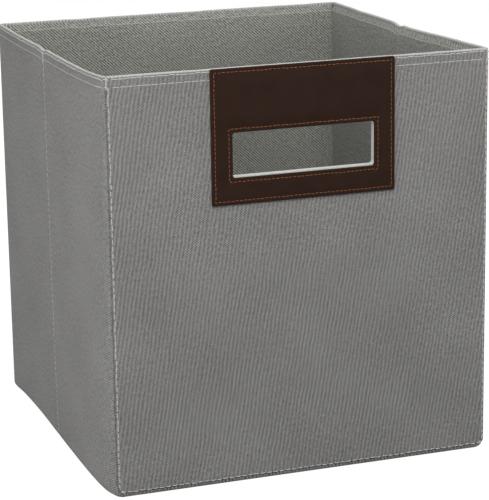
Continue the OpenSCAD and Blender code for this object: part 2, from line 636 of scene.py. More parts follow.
@dataclass(frozen=True)
class GreyBoard(Finish):
    """Pressed grey-brown board."""

    def paint(self, graph: Graph) -> None:
        """Flecks on the object's own coordinates."""
        where = graph.out(graph.node("TexCoord"), "Object")
        flecks = graph.noise(where, 700.0, 4.0)
        cloudy = graph.noise(where, 30.0, 2.0)
        mask = flecks * 0.7 + cloudy * 0.3
        graph.surface(Base_Color=graph.mix(mask, self.dark, self.light), Roughness=0.92)
        graph.bump(flecks, 0.15 * MM, 0.5)


RIM_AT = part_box("back_outer_cloth")[1].z
# The outer cloth has a painted highlight on the band over its rim.
OUTER_CLOTH = TwillCloth(
    "outer_twill", (0.080, 0.079, 0.076), (0.450, 0.445, 0.430), contrast=0.68, middle=0.345, rim_highlight=0.6,
)
SIDE_CLOTH = replace(OUTER_CLOTH, name="side_twill", rib_share=0.15, grain=0.95)
LINING_CLOTH = TwillCloth(
    "lining_twill", (0.075, 0.078, 0.068), (0.420, 0.425, 0.385), slope=Twill.LEFT, wale=2.0 * MM,
    angle=42.0, rib_share=0.15, contrast=1.6, relief=0.2 * MM,
)
BINDING_CLOTH = TwillCloth(
    "binding_cloth", (0.34, 0.34, 0.32), (0.56, 0.56, 0.53), rib_share=0.1, contrast=0.6,
)
GREY_THREAD = Thread("grey_beige_thread", (0.36, 0.355, 0.335), (0.68, 0.67, 0.63))
TAN_THREAD = Thread("tan_thread", (0.11, 0.055, 0.029), (0.36, 0.21, 0.12))
BROWN_LEATHER = Leather("dark_brown_leather", (0.0130, 0.0051, 0.0026), (0.034, 0.0138, 0.0068))
BOARD = GreyBoard("grey_board", (0.26, 0.22, 0.16), (0.40, 0.35, 0.27))


# ---- The shape of the shell -----------------------------------------------------------------------


class Face(Enum):
    """The front or the back of the bin."""

    FRONT = -1
    BACK = 1


class Side(Enum):
    """The left or the right of the bin, seen from the front."""

    LEFT = -1
    RIGHT = 1


@dataclass(frozen=True)
class Shell:
    """Where the outer cloth lies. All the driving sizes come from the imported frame.

    Attributes:
        half_w: Half the width over the outer cloth.
        front: Y of the front face.
        back: Y of the back face.
        top: Height of the rim.
        wall: Thickness of a wall, which is also the radius of the upright corners.
        base_r: Radius of the cloth under the two bottom side edges.
        crease_y: Y of the axis on which a side wall folds.
        cloth: Thickness of the cloth.
        rim_w: Thickness of a wall at its rim.
        taper: Height over which a wall thins to its rim.
        seam_in: How far inside the width the upright seams stand.
        seam_up: Height of the seam round the foot of an end panel.
        seam_r: Radius of that seam's corners.
        groove: Depth of the groove along a seam.
        groove_w: Half its width.
        split: Height at which the walls' cloth ends and the floor cloth starts.
        hem_row_1: How far below the rim the upper row of the hem is sewn.
        hem_row_2: How far below the rim the lower row is sewn.
        thread_in: How far beside a seam its row is sewn.
    """

    half_w: float
    front: float
    back: float
    top: float
    wall: float
    base_r: float
    crease_y: float
    cloth: float = 1.2 * MM
    rim_w: float = 3.0 * MM
    taper: float = 7.0 * MM
    seam_in: float = 1.9 * MM
    seam_up: float = 3.9 * MM
    seam_r: float = 6.0 * MM
    groove: float = 2.0 * MM
    groove_w: float = 1.3 * MM
    split: float = 4.7 * MM
    hem_row_1: float = 3.0 * MM
    hem_row_2: float = 9.2 * MM
    thread_in: float = 1.3 * MM

    @property
    def hinge_x(self) -> float:
        """How far from the middle the corner axes stand."""
        return self.half_w - self.wall

    @property
    def rim_r(self) -> float:
        """Radius of the cloth over the top of a wall."""
        return self.rim_w / 2.0

    def lining_depth(self, z: float) -> float:
        """How far behind the outer face the inner face of a wall lies: walls thin out towards the rim."""
        low = self.top - self.rim_r - self.taper
        return self.wall - (self.wall - self.rim_w - 0.2 * MM) * smoothstep((z - low) / self.taper)

    @property
    def seam_x(self) -> float:
        """How far from the middle the upright seams stand."""
        return self.half_w - self.seam_in

    @property
    def seam_phi(self) -> float:
        """Where on the round corner the upright seam lies, as an angle from the front's normal."""
        return math.asin((self.seam_x - self.hinge_x) / self.wall)

    @property
    def split_turn(self) -> float:
        """How far round the bottom edge the walls' cloth ends, as an angle from level."""
        return math.asin((self.base_r - self.split) / self.base_r)

    def face_y(self, face: Face, inset: float) -> float:
        """Y of a point that lies inset behind the front or the back face."""
        return self.front + inset if face is Face.FRONT else self.back - inset

    def seam_z(self, across: float) -> float:
        """Height of the seam round a panel's lower edge, at a distance from the middle."""
        start = self.seam_x - self.seam_r
        if across <= start:
            return self.seam_up
        reach = min(across - start, self.seam_r)
        return self.seam_up + self.seam_r - math.sqrt(self.seam_r**2 - reach**2)

    def seam_distance(self, across: float, z: float) -> float:
        """How far inside the seam a point of the front or back panel lies."""
        return inside_rounded(self.seam_x - across, z - self.seam_up, self.seam_r)

    def panel_inset(self, across: float, z: float) -> float:
        """How far behind its face the cloth of the front or back panel lies, below the rim.

        Args:
            across: Distance from the middle.
            z: Height.

        Returns:
            The inset: the edge rounds off, and dives into the seam.
        """
        edge = inside_rounded(self.half_w - across, z, self.base_r)
        inset = 0.0
        if edge < self.wall:
            inset = self.wall - math.sqrt(self.wall**2 - (self.wall - edge) ** 2)
        return inset + self.dive(self.seam_distance(across, z))

    def dive(self, distance: float) -> float:
        """How deep the cloth dives at a distance from its seam."""
        return self.groove * (1.0 - smoothstep(distance / self.groove_w))

    def crease_dip(self, side: Side, y: float) -> float:
        """How far a side wall's rim sinks at its crease. It rises beside it, and the right one sags."""
        along = y - self.crease_y - CREASE_BACK
        dip = mound(along, 0.0, 9.0 * MM, 1.7 * MM) - mound(along, -9.0 * MM, 4.0 * MM, 0.5 * MM)
        return dip + (mound(along, -34.0 * MM, 38.0 * MM, 1.0 * MM) if side is Side.RIGHT else 0.0)

    def near_rim(self, z: float) -> float:
        """How near the rim a height is: 1 at the rim, and 0 from 30 mm under it down."""
        reach = 30 * MM
        return smoothstep((z - (self.top - reach)) / reach)

    def rim_wave(self, along: float, seed: float) -> float:
        """A slight unevenness of the rim's height."""
        return 0.35 * MM * ripple(along, seed)

    def bow(self, side: Side, y: float, z: float) -> float:
        """How far a side wall stands out between its corners.

        Args:
            side: Which wall.
            y: Place along the wall.
            z: Height.

        Returns:
            The distance outwards. The corner wraps fade it to 0 at their seams.
        """
        share = (y - self.front) / (self.back - self.front)
        high, low = SWELLING[side]
        low_share = (1.0 - z / self.top) ** 2
        return high.at(share) * (1.0 - low_share) + low.at(share) * low_share

    def inner_bow(self, side: Side, y: float, z: float) -> float:
        """How far a board or a lining follows the wall. Outwards, this fades away near the end walls."""
        out = self.bow(side, y, z)
        from_end = min(y - self.front, self.back - y) - self.wall
        return min(out, out * smoothstep(from_end / (20 * MM)))

    def pinch(self, y: float) -> float:
        """How deep the furrow along a side's crease is."""
        return mound(y - self.crease_y, CREASE_BACK, 3.0 * MM, 0.5 * MM)


@dataclass(frozen=True)
class Swelling:
    """How far a wall stands out along its length, as a smooth curve through a few points.

    Attributes:
        points: Shares of the wall's length and distances outwards in millimetres.
    """

    points: tuple[Pair, ...]

    def at(self, share: float) -> float:
        """The distance outwards at a share of the wall's length, in metres."""
        points = self.points
        share = min(max(share, points[0][0]), points[-1][0])
        i = next(k for k in range(len(points) - 1) if share <= points[k + 1][0])
        (x0, y0), (x1, y1) = points[i], points[i + 1]
        before, after = points[max(i - 1, 0)], points[min(i + 2, len(points) - 1)]
        slope_0 = (y1 - before[1]) / (x1 - before[0])
        slope_1 = (after[1] - y0) / (after[0] - x0)
        width = x1 - x0
        t = (share - x0) / width
        ends = y0 * (1 + 2 * t) * (1 - t) ** 2 + y1 * t * t * (3 - 2 * t)
        return (ends + width * (slope_0 * t * (1 - t) ** 2 - slope_1 * t * t * (1 - t))) * MM


BASE_TIGHTNESS = 0.72
CREASE_BACK = 1.5 * MM
SPLIT_GAP = 0.05 * MM
HEM_TURN = 8.0 * MM
TACK_END = 10.5 * MM
INNER_DROP = 7.5 * MM
RIM_TURNS = tuple(math.radians(angle) for angle in range(15, 181, 15))
SWELLING = {
    Side.LEFT: (
        Swelling((
            (0.0, 0.0), (0.015, 1.0), (0.05, 2.9), (0.12, 4.4), (0.26, 5.0),
            (0.5, 3.0), (0.72, 2.4), (0.92, 0.4), (1.0, -0.8),
        )),
        Swelling((
            (0.0, 0.0), (0.015, 2.2), (0.05, 5.0), (0.12, 6.0), (0.26, 5.0),
            (0.5, 1.8), (0.72, -1.4), (0.92, -2.4), (1.0, -1.2),
        )),
    ),
    Side.RIGHT: (
        Swelling((
            (0.0, 0.0), (0.06, -0.8), (0.25, -3.6), (0.42, -4.8),
            (0.5, -4.4), (0.75, -3.0), (0.94, -0.8), (1.0, 0.0),
        )),
        Swelling((
            (0.0, 0.0), (0.06, 0.5), (0.25, 0.4), (0.5, -0.4), (0.75, 0.0), (0.94, 0.2), (1.0, 0.0),
        )),
    ),
}


def inside_rounded(from_side: float, from_floor: float, radius: float) -> float:
    """Distance inside an outline whose bottom corner is rounded.

    Args:
        from_side: Distance from the outline's upright side.
        from_floor: Distance from its level side.
        radius: Radius between the two.

    Returns:
        The distance to the nearest point of the outline.
    """
    if from_side < radius and from_floor < radius:
        return radius - math.hypot(radius - from_side, radius - from_floor)
    return min(from_side, from_floor)


def read_shell() -> Shell:
    """The shell's driving sizes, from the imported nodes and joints."""
    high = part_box("back_outer_cloth")[1]
    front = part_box("front_outer_cloth")[0].y
    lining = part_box("back_lining")[0].y
    base_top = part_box("base_cloth")[1].z
    crease = joint("left_crease")
    return Shell(
        half_w=high.x, front=front, back=high.y, top=high.z, wall=high.y - lining,
        base_r=BASE_TIGHTNESS * base_top, crease_y=crease["pos_m"][1],
    )


def joint(name: str) -> dict:
    """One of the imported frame's joints."""
    return next(entry for entry in frame["joints"] if entry["name"] == name)


def spread_between(ends: Sequence[float], step: float) -> list[float]:
    """Even values between ends, all of which are kept."""
    return merge_sorted(*(spread(a, b, step) for a, b in zip(ends, ends[1:])))


def slot_skip(
    xs: list[float], zs: list[float], slot: tuple[Pair, Pair], rows: int
) -> Callable[[int, int], bool]:
    """Says which quads of a grid lie in the hand slot.

    Args:
        xs: X of each column of points.
        zs: Height of each row of points.
        slot: Lowest and highest corner of the slot.
        rows: Only rows before this one are cut.

    Returns:
        A test of a row and a column.
    """
    (left, low), (right, high) = slot

    def skip(r: int, c: int) -> bool:
        """Whether the middle of the quad lies in the slot."""
        middle_x, middle_z = (xs[c] + xs[c + 1]) / 2, (zs[r] + zs[r + 1]) / 2
        return r < rows and left < middle_x < right and low < middle_z < high

    return skip


# ---- Outer cloth ----------------------------------------------------------------------------------


@dataclass
class WallPanel:
    """The front or the back panel: outer face, rim, and the hem just inside.

    Attributes:
        shell: Where the cloth lies.
        face: Which panel it is.
        slot: Lowest and highest corner of the hand slot, or None.
    """

    shell: Shell
    face: Face
    slot: tuple[Pair, Pair] | None = None
    hem_in: float = 2.8 * MM

    def across_lines(self) -> list[float]:
        """Distances from the middle at which the panel has a line of points."""
        shell = self.shell
        start = shell.seam_x - shell.seam_r
        angles = (0, 10, 20, 30, 38, 46, 54, 62, 69, 75, 80, 85, 90)
        arc = [start + shell.seam_r * math.sin(math.radians(angle)) for angle in angles]
        fine = [shell.seam_x - d * MM for d in (0.25, 0.5, 0.75, 1.0, 1.4, 2.0, 2.7, 3.4)]
        slot_x = self.slot[1][0] if self.slot else 62.0 * MM
        return merge_sorted(spread(0.0, slot_x, 6 * MM), spread(slot_x, start, 5 * MM), arc, fine)

    def lines(self) -> list[float]:
        """X from left to right at which the panel has a line of points."""
        half = self.across_lines()
        return [-a for a in reversed(half)] + half[1:]

    def heights(self) -> list[float]:
        """Heights of the rows of the flat face, as at the middle of the panel."""
        shell = self.shell
        low = [shell.split + h * MM for h in (0, 0.4, 0.8, 1.3, 2, 3, 4, 5.5, 7, 9, 12)]
        slot_ends = [self.slot[0][1], self.slot[1][1]] if self.slot else []
        return merge_sorted(low, spread_between([low[-1], *slot_ends, shell.top - shell.rim_r], 7 * MM))

    def point(self, x: float, z: float, inset: float) -> Point:
        """A point of the panel, from how far it lies behind the face."""
        return (x, self.shell.face_y(self.face, inset), z)

    def soft(self, x: float, z: float) -> float:
        """A slight softness of the flat face, which fades out at its edges."""
        shell = self.shell
        reach = 30 * MM
        fade = smoothstep(min(shell.seam_distance(abs(x), z), shell.top - shell.rim_r - z) / reach)
        seed = 1.0 if self.face is Face.FRONT else 2.0
        return 0.35 * MM * fade * ripple(x * 0.4 + z * 0.15, seed)

    def rows(self) -> tuple[list[list[Point]], list[list[Pair]]]:
        """Points and flat places of the panel, from the bottom turn-in up and over the rim."""
        shell = self.shell
        lines = self.lines()
        span = shell.top - shell.rim_r - shell.split
        rows: list[list[Point]] = []
        flats: list[list[Pair]] = []
        side = -self.face.value

        def low(x: float) -> float:
            """Height of the panel's lower edge."""
            return max(shell.seam_z(abs(x)), shell.split)

        turned_in = (4.4 * MM, 2.6 * MM)
        for inset in turned_in:
            rows.append([self.point(x, low(x) + SPLIT_GAP, inset) for x in lines])
            flats.append([(x * side, low(x) - inset) for x in lines])
        for height in self.heights():
            share = (height - shell.split) / span
            row = []
            for x in lines:
                z = low(x) + share * (shell.top - shell.rim_r - low(x))
                row.append(self.point(x, z, shell.panel_inset(abs(x), z) + self.soft(x, z)))
            rows.append(row)
            flats.append([(p[0] * side, p[2]) for p in row])
        for turn in RIM_TURNS:
            depth, rise = shell.rim_r * (1 - math.cos(turn)), shell.rim_r * math.sin(turn)
            self.add_rim_row(rows, flats, lines, depth, rise)
        self.add_rim_row(rows, flats, lines, shell.rim_w, -(self.hem_in - shell.rim_r))
        return rows, flats

    def add_rim_row(self, rows: list, flats: list, lines: list[float], depth: float, rise: float) -> None:
        """Adds one row over the rim.

        Args:
            rows: Rows so far.
            flats: Flat places so far.
            lines: X of each point.
            depth: How far behind the face the row lies.
            rise: Height above the start of the rim's rounding.
        """
        shell = self.shell
        row = []
        for x in lines:
            across = abs(x)
            dive = shell.dive(shell.seam_x - across)
            z = shell.top - shell.rim_r + rise * (1.0 - dive / (3.0 * MM))
            z += min(0.0, shell.rim_wave(x, 5.0 + self.face.value)) * smoothstep(rise / shell.rim_r)
            if across > shell.hinge_x:
                phi = math.asin(min(1.0, (across - shell.hinge_x) / shell.wall))
                radius = max(shell.wall - depth - dive * (1 - depth / shell.wall), 0.3 * MM)
                reach = shell.hinge_x + radius * math.sin(phi)
                row.append(self.point(math.copysign(reach, x), z, shell.wall - radius * math.cos(phi)))
            else:
                row.append(self.point(x, z, depth))
        rows.append(row)
        side = -self.face.value
        flats.append([(x * side, shell.top + depth) for x in lines])

    def build(self, name: str) -> bpy.types.Object:
        """Makes the panel.

        Args:
            name: Name of the piece.

        Returns:
            The piece, a closed sheet.
        """
        rows, flats = self.rows()
        skip = None
        if self.slot:
            xs, zs = [p[0] for p in rows[5]], [row[len(row) // 2][2] for row in rows]
            skip = slot_skip(xs, zs, self.slot, len(self.heights()) + 2)
        cloth = Patchwork(name)
        cloth.add_grid(rows, flats, flip=self.face is Face.BACK, skip=skip)
        return cloth.build(OUTER_CLOTH, self.shell.cloth)


@dataclass
class WallProfile:
    """One row of a side wall or corner wrap: a place on the wall's outline, and how far over the rim it is.

    Attributes:
        inset: How far the outline lies inside the wall's outer face.
        z: Height on the outline.
        normal: Direction into the wall, as its level and its upward part.
        depth: How far the row has gone over the rim.
        run: Length along the cloth from the bottom.
    """

    inset: float
    z: float
    normal: Pair = (1.0, 0.0)
    depth: float = 0.0
    run: float = 0.0


def wall_profile(shell: Shell) -> list[WallProfile]:
    """Rows of a side wall or a corner wrap, from the split up, over the rim and down inside."""
    rows = []
    for i in range(7):
        turn = shell.split_turn * (1 - i / 6)
        z = shell.base_r - shell.base_r * math.sin(turn)
        inset = shell.base_r * (1 - math.cos(turn))
        rows.append(WallProfile(inset, z, (math.cos(turn), math.sin(turn)), run=z))
    start, radius = shell.top - shell.rim_r, shell.rim_r
    rows += [WallProfile(0.0, z, run=z) for z in spread(shell.base_r, start, 7 * MM)[1:]]
    for turn in RIM_TURNS:
        z, depth = start + radius * math.sin(turn), radius * (1 - math.cos(turn))
        rows.append(WallProfile(0.0, z, depth=depth, run=start + radius * turn))
    run = start + radius * math.pi + 1.3 * MM
    rows.append(WallProfile(0.0, shell.top - 2.8 * MM, depth=shell.rim_w, run=run))
    return rows


@dataclass
class SidePanel:
    """A side wall's outer cloth, from one corner wrap to the other, with a crease down its middle.

    Attributes:
        shell: Where the cloth lies.
        side: Which side it is.
        lap_front: How far the front corner wrap reaches along the side.
        lap_back: How far the rear corner wrap reaches along the side.
    """

    shell: Shell
    side: Side
    lap_front: float = 2.0 * MM
    lap_back: float = 2.0 * MM

    def stations(self) -> list[float]:
        """Y from front to back at which the panel has a line of points."""
        shell = self.shell
        first = shell.front + shell.wall + self.lap_front
        last = shell.back - shell.wall - self.lap_back
        crease = shell.crease_y
        middle = spread(crease - 10 * MM, crease + 14 * MM, 1 * MM)
        return merge_sorted(spread(first, middle[0], 6 * MM), middle, spread(middle[-1], last, 6 * MM))

    def point(self, y: float, row: WallProfile) -> Point:
        """A point of the cloth."""
        shell = self.shell
        out = shell.bow(self.side, y, row.z) - shell.pinch(y) * (1.0 - row.depth / shell.rim_w)
        z = row.z - shell.crease_dip(self.side, y) * shell.near_rim(row.z)
        if row.depth > 0.0:
            z += min(0.0, shell.rim_wave(y, 8.0 + self.side.value)) * smoothstep(row.depth / shell.rim_r)
        across = shell.half_w - row.inset - row.depth + out
        return (self.side.value * across, y, z)

    def build(self, name: str) -> bpy.types.Object:
        """Makes the panel.

        Args:
            name: Name of the piece.

        Returns:
            The piece, a closed sheet.
        """
        shell = self.shell
        profile = wall_profile(shell)
        stations, side = self.stations(), self.side
        rows = [[self.point(y, row) for y in stations] for row in profile]
        turn_in, turned_z = 4.6 * MM, shell.split + SPLIT_GAP
        across = [side.value * (shell.half_w - turn_in + shell.bow(side, y, 0.0)) for y in stations]
        rows.insert(0, [(x, y, turned_z) for x, y in zip(across, stations)])
        flats = [[(y * side.value, row.run) for y in stations] for row in profile]
        flats.insert(0, [(y * side.value, shell.split - 2 * MM) for y in stations])
        cloth = Patchwork(name)
        cloth.add_grid(rows, flats, flip=side is Side.LEFT)
        return cloth.build(SIDE_CLOTH, shell.cloth)


@dataclass
class CornerWrap:
    """The strip of the side's cloth that turns round an upright corner, to its seam with an end panel.

    Attributes:
        shell: Where the cloth lies.
        face: Front or back.
        side: Left or right.
        lap: How far the wrap reaches along the side.
    """

    shell: Shell
    face: Face
    side: Side
    lap: float = 2.0 * MM

    def ring_point(self, row: WallProfile, phi: float, beyond: float, dive: float) -> Point:
        """A point of the wrap.

        Args:
            row: Row of the wall's profile.
            phi: Angle round the corner, from the face's normal.
            beyond: Distance along the side, past the round part.
            dive: How far the cloth dives towards the seam.

        Returns:
            The point.
        """
        shell = self.shell
        radius = max(shell.wall - row.depth - dive * (1 - row.depth / shell.wall), 0.3 * MM)
        pulled = shell.wall - radius * math.sin(phi)
        y = shell.face_y(self.face, shell.wall - radius * math.cos(phi) + beyond)
        start = seam_angle(shell, row)
        out = shell.bow(self.side, y, row.z) * max(0.0, (phi - start) / (RIGHT_ANGLE - start))
        across = shell.half_w - row.inset - pulled * row.normal[0] + out
        return (self.side.value * across, y, row.z + pulled * row.normal[1])

    def columns(self, row: WallProfile) -> list[tuple[float, float, float]]:
        """Angle, distance beyond the corner and dive of each point of a row, from the seam on."""
        shell = self.shell
        start = seam_angle(shell, row)
        columns = []
        for share in (0.0, 0.06, 0.12, 0.19, 0.27, 0.4, 0.55, 0.7, 0.85, 1.0):
            phi = start + (RIGHT_ANGLE - start) * share
            columns.append((phi, 0.0, shell.dive((phi - start) * shell.wall)))
        return columns + [(RIGHT_ANGLE, self.lap * s, 0.0) for s in (0.5, 1.0)]

    def build(self, name: str) -> bpy.types.Object:
        """Makes the wrap.

        Args:
            name: Name of the piece.

        Returns:
            The piece, a closed sheet.
        """
        shell = self.shell
        left_of_face = (self.face is Face.FRONT) == (self.side is Side.LEFT)
        sign = -1.0 if left_of_face else 1.0
        rows, flats = [], []
        for row in wall_profile(shell):
            columns = self.columns(row)
            rows.append([self.ring_point(row, *column) for column in columns])
            flats.append([(sign * (phi * shell.wall + beyond), row.run) for phi, beyond, _ in columns])
        cloth = Patchwork(name)
        cloth.add_grid(rows, flats, flip=left_of_face)
        return cloth.build(SIDE_CLOTH, shell.cloth)


def seam_angle(shell: Shell, row: WallProfile) -> float:
    """Where on the rounded edge the seam lies, on a row at the rounded bottom corner.

    Args:
        shell: Where the cloth lies.
        row: Row of the wall's profile.

    Returns:
        Angle from the face's normal, found by stepping along the row until it meets the seam's outline.
    """
    if row.normal[1] <= 0.0:
        return shell.seam_phi
    low, high = 0.0, RIGHT_ANGLE
    for _ in range(30):
        phi = (low + high) / 2
        pulled = shell.wall * (1.0 - math.sin(phi))
        across = shell.half_w - row.inset - pulled * row.normal[0]
        z = row.z + pulled * row.normal[1]
        if shell.seam_distance(across, z) > 0.0:
            low = phi
        else:
            high = phi
    return (low + high) / 2


@dataclass
class FloorCloth:
    """The bottom of the bin: the strip under it, the turned-up side edges and the foot of both panels.

    Attributes:
        shell: Where the cloth lies.
        fold_at: Height of the fold line along each bottom side edge.
    """

    shell: Shell
    fold_at: float = 3.6 * MM

    def outline(self) -> list[WallProfile]:
        """Places along the strip from the left split to the right one. Their inset counts from the left."""
        shell = self.shell
        radius = shell.base_r
        rows = []
        for i in range(15):
            turn = shell.split_turn + (RIGHT_ANGLE - shell.split_turn) * i / 14
            across, up = math.cos(turn), math.sin(turn)
            rows.append(WallProfile(radius * (1 - across), radius * (1 - up), (across, up)))
        edge = rows[::-1]
        for inset in spread(radius, 2 * shell.half_w - radius, 8 * MM)[1:-1]:
            rows.append(WallProfile(inset, 0.0, (0.0, 1.0)))
        for row in edge:
            rows.append(WallProfile(2 * shell.half_w - row.inset, row.z, (-row.normal[0], row.normal[1])))
        return rows

    def pinch(self, row: WallProfile) -> float:
        """How deep the fold line along the side edge is, on this row."""
        return mound(row.z, self.fold_at, 0.55 * MM, 0.9 * MM) if row.normal[0] else 0.0

    def side_of(self, row: WallProfile) -> Side:
        """The side that a row lies on."""
        return Side.LEFT if row.inset < self.shell.half_w else Side.RIGHT

    def point(self, row: WallProfile, y: float, pulled: float, out: float) -> Point:
        """A point of the strip.

        Args:
            row: Its place along the strip.
            y: Its Y.
            pulled: How far it is pulled inwards.
            out: How far the side wall stands out there, which moves only the side edges.

        Returns:
            The point.
        """
        swell = self.side_of(row).value * out if row.normal[0] else 0.0
        x = -self.shell.half_w + row.inset + pulled * row.normal[0] + swell
        return (x, y, row.z + pulled * row.normal[1])

    def edge_points(self, row: WallProfile, face: Face) -> list[Point]:
        """Points round the front or the back edge, from the seam on."""
        shell, side = self.shell, self.side_of(row)
        inset = min(row.inset, 2 * shell.half_w - row.inset)
        start = seam_angle(shell, WallProfile(inset, row.z, (abs(row.normal[0]), row.normal[1])))
        shallow = 0.4 + 0.6 * row.z / shell.split
        points = []
        for share in (0.0, 0.08, 0.16, 0.25, 0.4, 0.6, 0.8, 1.0):
            phi = start + (RIGHT_ANGLE - start) * share
            dive = shell.dive((phi - start) * shell.wall) * shallow + self.pinch(row) * share
            radius = shell.wall - dive
            y = shell.face_y(face, shell.wall - radius * math.cos(phi))
            pulled = shell.wall - radius * math.sin(phi)
            points.append(self.point(row, y, pulled, shell.bow(side, y, row.z) * share))
        return points

    def long_points(self, row: WallProfile) -> list[Point]:
        """Points between the front and the back edge."""
        shell, side = self.shell, self.side_of(row)
        points = []
        for y in SidePanel(shell, side).stations():
            out = shell.bow(side, y, row.z) - shell.pinch(y) * row.z / shell.split
            points.append(self.point(row, y, self.pinch(row), out))
        return points

    def build(self, name: str) -> bpy.types.Object:
        """Makes the floor cloth.

        Args:
            name: Name of the piece.

        Returns:
            The piece, a closed sheet.
        """
        cloth = Patchwork(name)
        rows, flats = [], []
        run = 0.0
        last: WallProfile | None = None
        for row in self.outline():
            if last:
                run += math.hypot(row.inset - last.inset, row.z - last.z)
            last = row
            front, back = (self.edge_points(row, face) for face in Face)
            points = front + self.long_points(row) + back[::-1]
            rows.append(points)
            flats.append([(run, p[1]) for p in points])
        cloth.add_grid(rows, flats)
        for face in Face:
            self.add_foot(cloth, face)
        return cloth.build(OUTER_CLOTH, self.shell.cloth)

    def add_foot(self, cloth: Patchwork, face: Face) -> None:
        """Adds the foot of a panel, between the seam under it and the split."""
        shell = self.shell
        start = shell.seam_x - shell.seam_r
        drop = shell.seam_up + shell.seam_r - shell.split
        reach = math.sqrt(shell.seam_r**2 - drop**2)
        half = merge_sorted(spread(0.0, start, 8 * MM), spread(start, start + reach, 0.8 * MM))
        lines = [-a for a in reversed(half)] + half[1:]
        rows = []
        for share in (0.0, 0.12, 0.25, 0.4, 0.6, 0.8, 1.0):
            row = []
            for x in lines:
                z = shell.seam_z(abs(x)) + share * (shell.split - shell.seam_z(abs(x)))
                row.append((x, shell.face_y(face, shell.panel_inset(abs(x), z)), z))
            rows.append(row)
        side = -face.value
        flats = [[(p[0] * side, p[2]) for p in row] for row in rows]
        cloth.add_grid(rows, flats, flip=face is Face.BACK)


# ---- Linings --------------------------------------------------------------------------------------


@dataclass
class Lining:
    """The cloth on the inside of the walls.

    Attributes:
        shell: Where the cloth lies.
        thickness: Thickness of the lining.
        bottom: Height of its lower edge.
        top_gap: How far below the rim it ends.
    """

    shell: Shell
    thickness: float = 1.0 * MM
    bottom: float = 4.9 * MM
    top_gap: float = 2.2 * MM

    def heights(self, cuts: Sequence[float] = ()) -> list[float]:
        """Heights of the rows, with a line at each cut."""
        top = self.shell.top - self.top_gap
        taper = self.shell.top - self.shell.rim_r - self.shell.taper
        ends = merge_sorted([self.bottom, taper], cuts)
        return merge_sorted(spread_between(ends, 9 * MM), spread(taper, top, 1 * MM))

    def soft(self, along: float, z: float, half: float, seed: float) -> float:
        """How far the cloth stands off the wall, which fades out at its edges."""
        edge = min(half - abs(along), z - self.bottom, self.shell.top - self.top_gap - z)
        return 0.35 * MM * smoothstep(edge / (40 * MM)) * (1.0 + ripple(along * 0.5 + z * 0.2, seed))

    def panel(self, face: Face, name: str, slot: tuple[Pair, Pair] | None) -> bpy.types.Object:
        """Makes the lining of the front or the back wall.

        Args:
            face: Which wall.
            name: Name of the piece.
            slot: Lowest and highest corner of a hole, or None.

        Returns:
            The piece, a closed sheet.
        """
        shell = self.shell
        cuts = [slot[0][0], slot[1][0]] if slot else []
        lines = spread_between(merge_sorted([-shell.hinge_x, shell.hinge_x], cuts), 9 * MM)
        heights = self.heights([slot[0][1], slot[1][1]] if slot else [])
        rows = []
        for z in heights:
            row = []
            for x in lines:
                off = self.soft(x, z, shell.hinge_x, 3.0 + face.value)
                row.append((x, shell.face_y(face, shell.lining_depth(z) + off), z))
            rows.append(row)
        flats = [[(p[0] * face.value, p[2]) for p in row] for row in rows]
        skip = slot_skip(lines, heights, slot, len(heights)) if slot else None
        cloth = Patchwork(name)
        cloth.add_grid(rows, flats, flip=face is Face.FRONT, skip=skip)
        return cloth.build(LINING_CLOTH, self.thickness)

    def side_panel(self, side: Side, name: str) -> bpy.types.Object:
        """Makes the lining of a side wall, in one piece with a furrow at the crease.

        Args:
            side: Which wall.
            name: Name of the piece.

        Returns:
            The piece, a closed sheet.
        """
        shell = self.shell
        crease = shell.crease_y
        first, last = shell.front + shell.wall + 0.05 * MM, shell.back - shell.wall - 0.05 * MM
        middle = spread(crease - 10 * MM, crease + 14 * MM, 1 * MM)
        stations = merge_sorted(spread(first, middle[0], 9 * MM), middle, spread(middle[-1], last, 9 * MM))
        half = (last - first) / 2
        rows = []
        for z in self.heights():
            row = []
            for y in stations:
                off = self.soft(y - crease, z, half, 6.0 + side.value)
                off -= shell.pinch(y) + shell.inner_bow(side, y, z)
                dip = shell.crease_dip(side, y) * shell.near_rim(z)
                row.append((side.value * (shell.half_w - shell.lining_depth(z) - off), y, z - dip))
            rows.append(row)
        flats = [[(-p[1] * side.value, p[2]) for p in row] for row in rows]
        cloth = Patchwork(name)
        cloth.add_grid(rows, flats, flip=side is Side.RIGHT)
        return cloth.build(LINING_CLOTH, self.thickness)


# ---- Stitches -------------------------------------------------------------------------------------


@dataclass
class StitchRow:
    """A row of stitches along a path.

    Attributes:
        points: Points of the path.
        outward: Which way the cloth faces at each point.
        ring: Joins the last point to the first.
    """

    points: list[Point]
    outward: list[Point]
    ring: bool = False


@dataclass(frozen=True)
class StitchStyle:
    """How a row is sewn.

    Attributes:
        pitch: Distance from one hole to the next.
        length: Length of the thread that shows.
        radius: Radius of the thread.
        bow: How far the middle of a stitch bends sideways.
        lift: How far the middle of a stitch stands off the cloth.
        bury: How deep its ends go into the cloth.
        skew: Angle between a stitch and its row, in degrees.
        jitter: Unevenness of the holes.
    """

    pitch: float
    length: float
    radius: float
    bow: float = 0.0
    lift: float = 0.35 * MM
    bury: float = 0.35 * MM
    skew: float = 0.0
    jitter: float = 0.12 * MM


